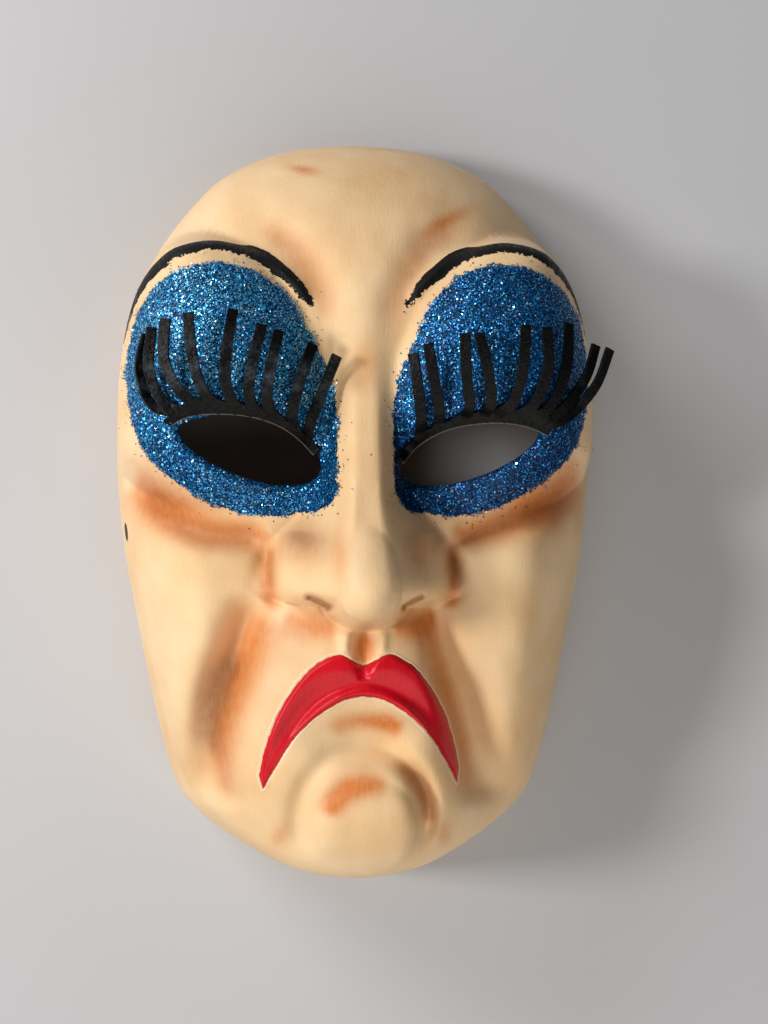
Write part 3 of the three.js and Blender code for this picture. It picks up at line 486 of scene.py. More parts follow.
def blush(x, y):
    """How much orange is rubbed into each place."""
    fx = lean(x, y)
    ax = np.abs(fx)
    mx = fold_lean(x, y)
    ey = under_eye_y(x, y)
    amount = stroke(fx, ey, [(70, 13), (62, 6), (52, 0), (42, -4.6), (32, -7.8), (25, -9.6)],
                    (8, 8, 7.2, 6, 4.8, 3.8), (0.6, 0.84, 0.8, 0.74, 0.8, 0.7), 0.1)
    amount += 0.9 * stroke(fx, y, [(26.6, -9), (27.6, -17), (27.4, -25), (25.6, -32)], (2, 2.5, 2.7, 2.8),
                           (0.6, 0.9, 0.9, 0.6), 0.2)
    flank = [(19.6, -29), (23, -35), (27.4, -45), (31.8, -57), (35.2, -69), (36.6, -80), (35.6, -90)]
    rubbed = stroke(mx, y, flank, (7, 7.8, 7, 6.4, 6, 5.6, 4.8), (0.6, 0.95, 1, 1, 1, 0.8, 0.4), 0.1)
    amount += rubbed * (0.9 - 0.2 * step(fx, -6, 6))
    amount += stroke(fx, y, [(24, -31), (15, -34.4), (7, -35)], (3.4, 4.4, 3.6), (0.5, 0.8, 0.8), 0.2)
    amount += 1.1 * bell(fx, y, 0, -40.8, 2.9, 4.8, 1.6)
    under_lip = [(-10.5, -66), (-6, -63), (0, -61.8), (6, -62.4), (12.4, -65.4)]
    amount += stroke(fx, y, under_lip, (2.6, 3, 3, 3.2, 3), (0.5, 0.7, 0.9, 1.2, 0.9), 0.14, both=False)
    arc = [(-11.4, -90.6), (-9.6, -85), (-5, -81), (1.4, -80), (7, -81.6)]
    amount += stroke(fx, y, arc, (2.4, 3.2, 3.9, 3.5, 2.6), (0.9, 1.2, 1.2, 1, 0.6), 0.16, both=False)
    amount += 0.6 * stroke(fx, y, [(7, -73.6), (13.4, -77.4), (18.4, -85.6), (20.4, -96)],
                           (2, 2.8, 3, 2.6), (0.6, 1, 1, 0.7), 0.15, both=False)
    amount += 0.5 * tilted_bell(ax, y, 24.5, -97, 2.4, 4.5, 20)
    amount += 0.5 * stroke(fx, y, [(8.5, 50), (10, 60), (14.6, 70.5), (22.6, 81), (34, 87)],
                           (3.6, 4, 4.2, 4, 3.6), (0.6, 0.8, 0.9, 0.9, 0.5), 0.2)
    amount += 0.9 * tilted_bell(x, y, -16.5, 106, 5.5, 1.8, -20)
    amount += 0.8 * tilted_bell(x, y, 27, 88, 9, 2.4, 33)
    amount += 0.4 * bell(fx, y, 0.5, 42, 3.4, 7) + 0.4 * bell(fx, y, -8, -14, 2.4, 8)
    amount += 0.25 * bell(ax, y, 60, 0, 14, 7) + 0.35 * bell(ax, y, 17, -11, 5.5, 6)
    return np.clip(amount, 0, 1)


def crease(x, y):
    """Darker brown at each place: brown settled in the folds, partly painted shade where they lie in
    shadow.
    """
    fx = lean(x, y)
    groove = [(68, 10), (60, 3.4), (51, -2), (41, -6.6), (32, -9.4), (27, -10.6)]
    amount = 0.6 * stroke(fx, under_eye_y(x, y), groove, (5, 5, 4.4, 3.6, 3, 2.4),
                          (0.6, 1, 1, 0.8, 0.7, 0.6), 0.15)
    amount += 0.5 * stroke(fx, y, [(26.4, -11), (27, -17), (26.6, -25)], (1.4, 1.7, 1.6),
                           (0.6, 1, 0.8), 0.2)
    # Painted shadow beside the right wing of the nose
    amount += 0.8 * tilted_bell(fx, y, 28.6, -18, 1.9, 6.5, 8)
    # Brown in the folds beside the mouth, with painted shade added on the left one, turned from the light
    fold = stroke(fold_lean(x, y), y, [(29, -40), (34.6, -55), (38.6, -68), (39.4, -80)],
                  (3.4, 3.9, 3.9, 3.6), (0.8, 1, 1, 0.6), 0.2)
    amount += fold * (1.05 - 0.92 * step(fx, -6, 6))
    # Both wing tops are browned; on the right this is painted shade
    amount += 0.75 * bell(fx, y, -17, -10, 7, 5) + 0.7 * bell(fx, y, 16, -12, 8, 9)
    # Painted shade in the socket on the right of the chin ball
    amount += 0.7 * stroke(fx, y, [(9, -74.2), (14.2, -78.4), (18.2, -85.4), (20, -95)],
                           (1.6, 2.4, 2.6, 2.2), (0.5, 1, 1, 0.8), 0.15, both=False)
    amount += 0.32 * stroke(fx, y, [(10, 56), (13.6, 67), (20.6, 78), (30, 84.5)], (2.8, 3.2, 3.2, 2.8),
                            1, 0.25)
    amount += 0.35 * bell(fx, y, 0, -35, 2, 3.4)
    # Painted shade on the outer wall of each fold, more on the left
    outer_wall_shade = stroke(fold_lean(x, y), y, [(35, -40), (42.4, -57), (46.4, -72), (46.6, -88)],
                   (4, 5.6, 6.4, 6), (0.6, 1, 1, 0.6), 0.2)
    amount += outer_wall_shade * (0.36 - 0.2 * step(fx, -6, 6))
    # The nostrils are darkened as painted shade
    amount += 1.6 * stroke(fx, y, [(17.6, -25.4), (14, -26.7), (9.8, -29.6)], (0.7, 0.9, 1.2), 1, 0.2)
    return np.clip(amount, 0, 1)


# Mesh helpers

def only(*objects):
    """Deselects all else, and makes the first of these active."""
    bpy.ops.object.select_all(action="DESELECT")
    for o in objects:
        o.select_set(True)
    bpy.context.view_layer.objects.active = objects[0]


def coordinates(obj):
    """A mesh's points in metres, a row to each."""
    co = np.empty(len(obj.data.vertices) * 3)
    obj.data.vertices.foreach_get("co", co)
    return co.reshape(-1, 3)


def set_coordinates(obj, co):
    obj.data.vertices.foreach_set("co", np.ascontiguousarray(co, float).ravel())
    obj.data.update()


def edit_selected(obj, kind, test, work):
    """Selects the faces or edges whose middles pass test(x, y, z), in mm, and runs work on them."""
    only(obj)
    bpy.ops.object.mode_set(mode="EDIT")
    bpy.ops.mesh.select_mode(type=kind)
    bpy.ops.mesh.select_all(action="DESELECT")
    mesh = bmesh.from_edit_mesh(obj.data)
    parts = mesh.faces if kind == "FACE" else [e for e in mesh.edges if e.is_boundary]
    middles = np.array([sum((v.co for v in p.verts), Vector()) / len(p.verts) for p in parts]) / MM
    for part, chosen in zip(parts, test(*middles.T)):
        if chosen:
            part.select_set(True)
    mesh.select_flush_mode()
    bmesh.update_edit_mesh(obj.data)
    work()
    bpy.ops.object.mode_set(mode="OBJECT")


def edit_all(obj, work):
    """Selects the whole of a mesh and runs work on it."""
    only(obj)
    bpy.ops.object.mode_set(mode="EDIT")
    bpy.ops.mesh.select_all(action="SELECT")
    work()
    bpy.ops.object.mode_set(mode="OBJECT")


def add_grid(name, columns, rows):
    """A flat grid from -1 to 1 both ways, to be moved into shape."""
    bpy.ops.object.select_all(action="DESELECT")
    bpy.ops.mesh.primitive_grid_add(x_subdivisions=columns, y_subdivisions=rows, size=2)
    obj = bpy.context.object
    obj.name = obj.data.name = name
    return obj


def round_off(obj, radius):
    """Moves the points of a square grid onto an outline, closer together near it."""
    u, v = coordinates(obj)[:, :2].T
    r = np.maximum(np.abs(u), np.abs(v))
    wide = np.abs(u) >= np.abs(v)
    safe_u, safe_v = np.where(wide & (u != 0), u, 1), np.where(~wide & (v != 0), v, 1)
    angle = np.where(wide, math.pi / 4 * v / safe_u, math.pi / 2 - math.pi / 4 * u / safe_v)
    angle = angle + np.where(np.where(wide, u, v) < 0, math.pi, 0)
    turn, middle, edge = 0.786, 1.12, 0.12
    rho = np.where(r < turn, middle * r, 1 - edge * ((1 - r) / (1 - turn)) ** 2)
    reach = rho * radius(np.arctan2(np.sin(angle), np.cos(angle)))
    x, y = reach * np.cos(angle), reach * np.sin(angle)
    set_coordinates(obj, np.stack([x, y, np.zeros_like(x)], -1) * MM)


def cut_eyes(obj):
    """Takes the eye openings out of a flat grid, and draws the cut edge onto their outline."""
    edit_selected(obj, "FACE", lambda x, y, z: outline_distance(np.abs(x), y, EYE_FINE) < 0,
                  lambda: bpy.ops.mesh.delete(type="FACE"))
    co = coordinates(obj)
    mesh = bmesh.new()
    mesh.from_mesh(obj.data)
    edge = np.array([v.is_boundary for v in mesh.verts])
    mesh.free()
    x, y = co[:, 0] / MM, co[:, 1] / MM
    line = curve_through(EYE, 40, True)
    for i in np.nonzero(edge & (outline_distance(np.abs(x), y, EYE_FINE) < 6))[0]:
        nearest = np.argmin(np.hypot(line[:, 0] - abs(x[i]), line[:, 1] - y[i]))
        co[i, 0] = math.copysign(line[nearest, 0], x[i]) * MM
        co[i, 1] = line[nearest, 1] * MM
    set_coordinates(obj, co)


def set_numbers(obj, name, values):
    """Keeps a number at each point of a mesh, for its material to read."""
    attribute = obj.data.attributes.new(name, "FLOAT", "POINT")
    attribute.data.foreach_set("value", np.asarray(values, np.float32))


def finish_piece(obj, name, materials, replaced=None):
    """Names a piece, gives it its materials and ties it to the part."""
    obj.name = obj.data.name = name
    obj.data.materials.clear()
    for m in materials:
        obj.data.materials.append(m)
    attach(obj, BODY)
    if replaced:
        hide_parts(replaced)


# Materials

def linear(code):
    """A hex sRGB colour as linear numbers."""
    channels = [int(code[i:i + 2], 16) / 255 for i in (1, 3, 5)]
    return [c / 12.92 if c <= 0.04045 else ((c + 0.055) / 1.055) ** 2.4 for c in channels] + [1.0]


def add(tree, kind, inputs=None, out=0, **settings):
    """Adds a node with its settings, links or sets its inputs, and gives its output of that name."""
    node = tree.nodes.new(kind)
    for key, value in settings.items():
        setattr(node, key, value)
    for key, value in (inputs or {}).items():
        if isinstance(value, bpy.types.NodeSocket):
            tree.links.new(value, node.inputs[key])
        else:
            node.inputs[key].default_value = value
    return node.outputs[out]


def start_material(name, shader):
    """A material with one shader on its output: the material, its tree and the shader's node."""
    material = bpy.data.materials.new(name)
    material.use_nodes = True
    tree = material.node_tree
    tree.nodes.clear()
    bsdf = add(tree, "ShaderNodeBsdfPrincipled", shader)
    end = tree.nodes.new("ShaderNodeOutputMaterial")
    tree.links.new(bsdf, end.inputs["Surface"])
    return material, tree, bsdf.node


def per(size):
    """A texture scale whose pattern repeats about every size millimetres."""
    return 1 / (size * MM)


def brush_lines(tree, where, width, turn, length):
    """Lines that a brush leaves: so many millimetres wide, length times as long, turned by turn."""
    laid = add(tree, "ShaderNodeMapping", {
        "Vector": where, "Rotation": (0, 0, turn), "Scale": (1, 1 / length, 0.3)})
    return add(tree, "ShaderNodeTexNoise", {
        "Vector": laid, "Scale": per(width), "Detail": 4.0, "Roughness": 0.6})


def dry_brushed(tree, colour, paint, name, dry, strength):
    """Rubs a paint over a colour, as much as the mesh's numbers say and broken up by the dry brush."""
    amount = add(tree, "ShaderNodeAttribute", out="Fac", attribute_name=name)
    rubbed = add(tree, "ShaderNodeMath", {0: amount, 1: dry}, operation="MULTIPLY", use_clamp=True)
    thin = add(tree, "ShaderNodeMath", {0: rubbed, 1: strength}, operation="MULTIPLY")
    return add(tree, "ShaderNodeMix", {0: thin, 6: colour, 7: paint}, out=2, data_type="RGBA")


def painted_area(tree, name, wobble, shake):
    """1 inside an outline whose signed distance the mesh holds, and that distance in mm, after the
    brush's wobble; shake says how many millimetres it may wander."""
    distance = add(tree, "ShaderNodeAttribute", out="Fac", attribute_name=name)
    shifted = add(tree, "ShaderNodeMath", {0: wobble, 1: shake, 2: distance}, operation="MULTIPLY_ADD")
    inside = add(tree, "ShaderNodeMapRange", {0: shifted, 1: 0.06, 2: -0.06})
    return inside, shifted


def painted_paper(look):
    """Acrylic paint brushed over sanded papier-mache: satin, with brush lines, small pits and a
    little unevenness. The lips are glossier, thicker paint, the brows thick and nearly matt with a
    few glints, and the orange was rubbed on with a dry brush, so it breaks up along the strokes."""
    material, tree, bsdf = start_material("painted_papier_mache", {
        "IOR": 1.45, "Specular IOR Level": 0.3})
    where = add(tree, "ShaderNodeTexCoord", out="Object")

    # The base coat: brush lines about 0.5 mm wide down the face, slanting ones over them
    strokes = brush_lines(tree, where, 0.55, 0.12, 12)
    slant = brush_lines(tree, where, 0.7, 0.7, 9)
    tone = add(tree, "ShaderNodeTexNoise", {"Vector": where, "Scale": per(24), "Detail": 2.0})
    speck = add(tree, "ShaderNodeTexNoise", {
        "Vector": where, "Scale": per(1.3), "Detail": 4.0, "Roughness": 0.65})
    broad = add(tree, "ShaderNodeTexNoise", {"Vector": where, "Scale": per(3.4), "Detail": 3.0})
    deep = add(tree, "ShaderNodeMapRange", {0: tone, 1: 0.35, 2: 0.68})
    pale = add(tree, "ShaderNodeMapRange", {0: strokes, 1: 0.42, 2: 0.75, 3: 0.0, 4: 0.12})
    dots = add(tree, "ShaderNodeMapRange", {0: speck, 1: 0.56, 2: 0.78, 3: 0.0, 4: 0.22})
    colour = look["cream"]
    for share, name in ((deep, "cream_deep"), (pale, "cream_pale"), (dots, "cream_deep")):
        colour = add(tree, "ShaderNodeMix", {0: share, 6: colour, 7: look[name]}, out=2,
                     data_type="RGBA")

    # The orange shading, and the brown in the folds with painted shade in it
    both = add(tree, "ShaderNodeMath", {0: slant, 1: broad}, operation="ADD")
    dry = add(tree, "ShaderNodeMapRange", {0: both, 1: 0.7, 2: 1.3, 3: 0.84, 4: 1.1})
    colour = dry_brushed(tree, colour, look["orange"], "blush", dry, 0.9)
    colour = dry_brushed(tree, colour, look["sienna_and_shade"], "crease", dry, 0.66)

    # Painted areas, whose outlines wander as a hand-held brush does
    soft = add(tree, "ShaderNodeTexNoise", {
        "Vector": where, "Scale": per(2.2), "Detail": 3.0, "Roughness": 0.6})
    wobble = add(tree, "ShaderNodeMath", {0: soft, 1: 0.5}, operation="SUBTRACT")
    sharp = add(tree, "ShaderNodeTexNoise", {
        "Vector": where, "Scale": per(0.8), "Detail": 3.0, "Roughness": 0.7})
    fine = add(tree, "ShaderNodeMath", {0: sharp, 1: 0.5}, operation="SUBTRACT")
    jagged = add(tree, "ShaderNodeMath", {0: wobble, 1: 1.4, 2: fine}, operation="MULTIPLY_ADD")
    rag = add(tree, "ShaderNodeAttribute", out="Fac", attribute_name="brow_rag")
    ragged = add(tree, "ShaderNodeMath", {0: jagged, 1: rag}, operation="MULTIPLY")
    lip, lip_distance = painted_area(tree, "lip", wobble, 0.9)
    brow, _ = painted_area(tree, "brow", ragged, 1.9)
    glue, _ = painted_area(tree, "glitter", jagged, 2.0)
    mole, _ = painted_area(tree, "mole", fine, 1.6)

    # A pale line of bare cream is left beside the lips
    beside = add(tree, "ShaderNodeMath", {0: lip_distance, 1: 0.45}, operation="SUBTRACT")
    beside = add(tree, "ShaderNodeMath", {0: beside}, operation="ABSOLUTE")
    pale_line = add(tree, "ShaderNodeMapRange", {0: beside, 1: 0.45, 2: 0.1, 3: 0.0, 4: 0.55})

    # The lips, the glue and the brows have two tones each, and the mole has one
    streak = add(tree, "ShaderNodeMapRange", {0: slant, 1: 0.35, 2: 0.7, 3: 0.0, 4: 0.6})
    gap = add(tree, "ShaderNodeMapRange", {0: sharp, 1: 0.4, 2: 0.62})
    thin = add(tree, "ShaderNodeMapRange", {0: slant, 1: 0.45, 2: 0.72, 3: 0.0, 4: 0.5})
    paints = []
    for share, one, other in ((streak, "lip_red", "lip_dark"), (gap, "glue_dark", "glue_blue"),
                              (thin, "brow_black", "brow_worn")):
        paints.append(add(tree, "ShaderNodeMix", {0: share, 6: look[one], 7: look[other]}, out=2,
                          data_type="RGBA"))
    red, blue, black = paints
    for area, paint in ((pale_line, look["cream_pale"]), (lip, red), (glue, blue), (brow, black),
                        (mole, look["mole"])):
        colour = add(tree, "ShaderNodeMix", {0: area, 6: colour, 7: paint}, out=2, data_type="RGBA")
    tree.links.new(colour, bsdf.inputs["Base Color"])

    # The satin is uneven, the lips shine more, and the brows only where the brush left them smooth
    uneven = add(tree, "ShaderNodeMath", {0: strokes, 1: tone}, operation="ADD")
    satin = add(tree, "ShaderNodeMapRange", {0: uneven, 1: 0.7, 2: 1.3, 3: 0.42, 4: 0.56})
    roughness = add(tree, "ShaderNodeMix", {0: lip, 2: satin, 3: 0.33})
    glints = add(tree, "ShaderNodeMapRange", {0: slant, 1: 0.5, 2: 0.66, 3: 0.66, 4: 0.34})
    roughness = add(tree, "ShaderNodeMix", {0: brow, 2: roughness, 3: glints})
    tree.links.new(roughness, bsdf.inputs["Roughness"])

    # Relief in metres: brush lines, a soft paper grain, sparse pits, and the thickness of the paint
    spots = add(tree, "ShaderNodeTexVoronoi", {"Vector": where, "Scale": per(7.5)}, out="Distance")
    pit = add(tree, "ShaderNodeMapRange", {0: spots, 1: 0.02, 2: 0.05})
    paper = add(tree, "ShaderNodeTexNoise", {"Vector": where, "Scale": per(4.5), "Detail": 3.0})
    relief = add(tree, "ShaderNodeMath", {0: strokes, 1: 0.06 * MM}, operation="MULTIPLY")
    for layer, depth in ((slant, 0.035), (speck, 0.05), (paper, 0.12), (pit, 0.06), (brow, 0.16),
                         (lip, 0.22), (pale_line, 0.22)):
        relief = add(tree, "ShaderNodeMath", {0: layer, 1: depth * MM, 2: relief},
                     operation="MULTIPLY_ADD")
    bump = add(tree, "ShaderNodeBump", {"Height": relief, "Distance": 1.0, "Strength": 1.0})
    tree.links.new(bump, bsdf.inputs["Normal"])
    return material


def black_inside(look):
    """Matt black paint on rough paper, brushed thinly, so the torn strips of paper show through."""
    material, tree, bsdf = start_material("inside_black", {"Roughness": 0.85, "Specular IOR Level": 0.1})
    where = add(tree, "ShaderNodeTexCoord", out="Object")
    grain = add(tree, "ShaderNodeTexNoise", {"Vector": where, "Scale": per(1.6), "Detail": 4.0})
    worn = add(tree, "ShaderNodeMapRange", {0: grain, 1: 0.35, 2: 0.75})
    colour = add(tree, "ShaderNodeMix", {0: worn, 6: look["inside_black"], 7: look["inside_worn"]},
                 out=2, data_type="RGBA")
    tree.links.new(colour, bsdf.inputs["Base Color"])
    strips = add(tree, "ShaderNodeTexVoronoi", {"Vector": where, "Scale": per(22), "Randomness": 1.0},
                 out="Distance", feature="DISTANCE_TO_EDGE")
    edge = add(tree, "ShaderNodeMapRange", {0: strips, 1: 0.0, 2: 0.06, 3: 0.0, 4: 0.35 * MM})
    relief = add(tree, "ShaderNodeMath", {0: grain, 1: 0.2 * MM, 2: edge}, operation="MULTIPLY_ADD")
    bump = add(tree, "ShaderNodeBump", {"Height": relief, "Distance": 1.0, "Strength": 1.0})
    tree.links.new(bump, bsdf.inputs["Normal"])
    return material


def glitter_film(look):
    """Metallised polyester glitter: squares of dyed film that flash where they face the light."""
    material, tree, bsdf = start_material("glitter_film", {
        "Metallic": 0.62, "Roughness": 0.26, "Coat Weight": 0.12, "Coat Roughness": 0.12})
    tone = add(tree, "ShaderNodeAttribute", out="Fac", attribute_name="tone")
    colours = add(tree, "ShaderNodeValToRGB", {"Fac": tone})
    stops = ((0.0, "film_navy"), (0.35, "film_blue"), (0.68, "film_azure"), (0.88, "film_cyan"),
             (1.0, "film_silver"))
    band = colours.node.color_ramp
    while len(band.elements) < len(stops):
        band.elements.new(0.5)
    for element, (place, name) in zip(band.elements, stops):
        element.position = place
        element.color = look[name]
    tree.links.new(colours, bsdf.inputs["Base Color"])
    return material


def lash_leather(look):
    """Thin black leather with a glazed finish: fine wrinkles that glint and, half way along where the curl
    turns to the light, grey patches of painted sheen, nearly all of them on the left side."""
    material, tree, bsdf = start_material("lash_leather", {"IOR": 1.45, "Specular IOR Level": 0.16})
    flat = add(tree, "ShaderNodeUVMap", uv_map="cut")
    cut = add(tree, "ShaderNodeSeparateXYZ", {0: flat}, out="Y")
    where = add(tree, "ShaderNodeTexCoord", out="Object")
    side = add(tree, "ShaderNodeSeparateXYZ", {0: where}, out="X")
    wrinkles = add(tree, "ShaderNodeTexNoise", {
        "Vector": where, "Scale": per(1.1), "Detail": 5.0, "Roughness": 0.62, "Distortion": 0.6})
    blotch = add(tree, "ShaderNodeTexNoise", {
        "Vector": where, "Scale": per(4.5), "Detail": 4.0, "Roughness": 0.6})

    # Painted sheen where the curl is tightest, in patches, and not in the bottom of the wrinkles: worn is
    # this sheen
    away = add(tree, "ShaderNodeMath", {0: cut, 1: 0.56}, operation="SUBTRACT")
    away = add(tree, "ShaderNodeMath", {0: away}, operation="ABSOLUTE")
    middle = add(tree, "ShaderNodeMapRange", {0: away, 1: 0.30, 2: 0.06})
    left_sheen = add(tree, "ShaderNodeMapRange", {0: side, 1: -6 * MM, 2: 6 * MM, 3: 0.75, 4: 0.03})
    sheen_patch = add(tree, "ShaderNodeMapRange", {0: blotch, 1: 0.42, 2: 0.7})
    sheen_crest = add(tree, "ShaderNodeMapRange", {0: wrinkles, 1: 0.4, 2: 0.58, 3: 0.3, 4: 1.0})
    worn = middle
    for share in (left_sheen, sheen_patch, sheen_crest):
        worn = add(tree, "ShaderNodeMath", {0: worn, 1: share}, operation="MULTIPLY")
    colour = add(tree, "ShaderNodeMix", {0: worn, 6: look["leather_black"], 7: look["leather_sheen"]},
                 out=2, data_type="RGBA")

    # The strip's lower edge is left raw
    edge = add(tree, "ShaderNodeMapRange", {0: cut, 1: -0.17, 2: -0.19, 3: 0.0, 4: 0.7})
    colour = add(tree, "ShaderNodeMix", {0: edge, 6: colour, 7: look["leather_edge"]}, out=2,
                 data_type="RGBA")
    tree.links.new(colour, bsdf.inputs["Base Color"])

    # A glazed finish, duller in the wrinkles, and their relief in metres
    rough = add(tree, "ShaderNodeMapRange", {0: wrinkles, 1: 0.35, 2: 0.65, 3: 0.22, 4: 0.4})
    tree.links.new(rough, bsdf.inputs["Roughness"])
    relief = add(tree, "ShaderNodeMath", {0: wrinkles, 1: 0.26 * MM}, operation="MULTIPLY")
    relief = add(tree, "ShaderNodeMath", {0: blotch, 1: 0.3 * MM, 2: relief}, operation="MULTIPLY_ADD")
    bump = add(tree, "ShaderNodeBump", {"Height": relief, "Distance": 1.0, "Strength": 1.0})
    tree.links.new(bump, bsdf.inputs["Normal"])
    return material


# The pieces

def wants_detail(x, y, level):
    """True where the face needs points closer together: level 1 in the folds, level 2 at crisp edges."""
    fx = lean(x, y)
    ax = np.abs(fx)
    wide = level == 1
    eye = outline_distance(ax, y, EYE_FINE)
    crisp = (eye < (4.5 if wide else 1.0)) & (eye > -3)

    # Round these, as far as the two numbers say for level 1 and level 2: the lips, the mole, the
    # brow, the line between the lips, the socket of the chin and the groove under the eye
    near = [(np.abs(outline_distance(fx, y, LIPS_FINE)), 4, 1.3),
            (np.hypot(x - MOLE[0] + 1, y - MOLE[1]), 6, 3.5)]
    for across, path, first, second in (
            (np.abs(x), BROW, 5, 2.6), (ax, LIP_LINE, 4, 1.6), (ax, CHIN_SOCKET, 6, 2.2),
            (ax, [(68.5, 10), (52, -1.8), (28, -10)], 5, 0)):
        near.append((near_path(across, y, curve_through(path, 4))[0], first, second))
    for distance, first, second in near:
        crisp |= distance < (first if wide else second)

    # The nose with the ground under it, and the creases behind its wings
    crisp |= (ax < (29 if wide else 26)) & (y > -41) & (y < (6 if wide else -23))
    crisp |= (ax > (21 if wide else 23)) & (ax < 29) & (y > -34) & (y < 0)
    return crisp


def build_shell(settings, look):
    """A flat grid is refined where the face has detail, cut, raised and closed with its inside."""
    face = add_grid("face", settings.face_columns, settings.face_rows)
    round_off(face, rim_radius)
    for level in (1, 2):
        edit_selected(face, "FACE", lambda x, y, z: wants_detail(x, y, level),
                      lambda: bpy.ops.mesh.subdivide(number_cuts=1, ngon=False))
    cut_eyes(face)
    co = coordinates(face)
    co[:, 2] = height(co[:, 0] / MM, co[:, 1] / MM) * MM
    set_coordinates(face, co)

    # The inside: a plainer grid, on the rim's outline moved in by the wall
    tangent = np.roll(RIM_FINE, -1, axis=0) - np.roll(RIM_FINE, 1, axis=0)
    tangent /= np.linalg.norm(tangent, axis=1, keepdims=True)
    inner = RIM_FINE + WALL * np.stack([tangent[:, 1], -tangent[:, 0]], -1)
    inner_angle = np.arctan2(inner[:, 1], inner[:, 0])
    order = np.argsort(inner_angle)
    inner_reach = np.hypot(inner[:, 0], inner[:, 1])[order]
    inner_angle = inner_angle[order]
    inside = add_grid("inside", settings.face_columns // 2, settings.face_rows // 2)
    round_off(inside, lambda a: np.interp(a, inner_angle, inner_reach, period=2 * math.pi))
    cut_eyes(inside)
    surface = inside_surface()
    co = coordinates(inside)
    rim = np.hypot(co[:, 0], co[:, 1]) / MM >= 0.9995 * np.interp(
        np.arctan2(co[:, 1], co[:, 0]), inner_angle, inner_reach, period=2 * math.pi)
    co[:, 2] = np.where(rim, 0, sample(surface, co[:, 0] / MM, co[:, 1] / MM)) * MM
    set_coordinates(inside, co)
    edit_all(inside, lambda: bpy.ops.mesh.flip_normals())

    materials = [painted_paper(look), black_inside(look)]
    for obj, index in ((face, 0), (inside, 1)):
        for m in materials:
            obj.data.materials.append(m)
        obj.data.polygons.foreach_set("material_index", np.full(len(obj.data.polygons), index))
    only(face, inside)
    bpy.ops.object.join()
    # The two grids are bridged along the rim and round each eye opening
    edges = [lambda x, y, z: np.hypot(x, y) > 0.9 * rim_radius(np.arctan2(y, x))]
    for sign in (-1, 1):
        edges.append(lambda x, y, z, s=sign: (s * x > 0) & (np.hypot(x, y) < EYE_REACH))
    for test in edges:
        edit_selected(face, "EDGE", test, lambda: bpy.ops.mesh.bridge_edge_loops())
    edit_all(face, lambda: bpy.ops.mesh.normals_make_consistent(inside=False))
    bpy.ops.object.shade_smooth_by_angle(angle=math.radians(62))

    co = coordinates(face)
    x, y, z = co[:, 0] / MM, co[:, 1] / MM, co[:, 2] / MM
    fx = lean(x, y)
    set_numbers(face, "lip", outline_distance(fx, y, LIPS_FINE))
    set_numbers(face, "glitter", outline_distance(glued(x), y, GLITTER_FINE))
    brow, rag = brow_edge(x, y)
    set_numbers(face, "brow", brow)
    set_numbers(face, "brow_rag", rag)
    set_numbers(face, "blush", blush(x, y))
    set_numbers(face, "crease", crease(x, y))
    mole_z = height(np.array([MOLE[0]]), np.array([MOLE[1]]))[0]
    reach = np.sqrt((x - MOLE[0]) ** 2 + (y - MOLE[1]) ** 2 + (z - mole_z) ** 2)
    set_numbers(face, "mole", reach - MOLE_RADIUS)
    finish_piece(face, "papier_mache_face", materials, "mask_shell")


def glued(x):
    """x as the glitter's outline takes it: both fields stand a little to +X beside the nose."""
    return np.abs(x - 1.7 * np.exp(-(x / 24) ** 2))


def glitter_chance(x, y, side):
    """How likely a flake sticks at a place: nearly sure on the glue, a few strays round it."""
    edge = outline_distance(glued(x), y, GLITTER_FINE) + 0.8 * waves(x, y, 7, 20 + side)
    edge = edge + 0.4 * waves(x, y, 2.6, 30 + side)
    chance = 1 - step(edge, -0.5, 0.6)
    stray = 0.06 * np.exp(-np.maximum(0, edge) / 1.1) + 0.0008 * (edge < 9)
    chance = np.maximum(chance, stray)
    opening = outline_distance(np.abs(x), y, EYE_FINE)
    return np.where(opening > 0.35, chance, 0)


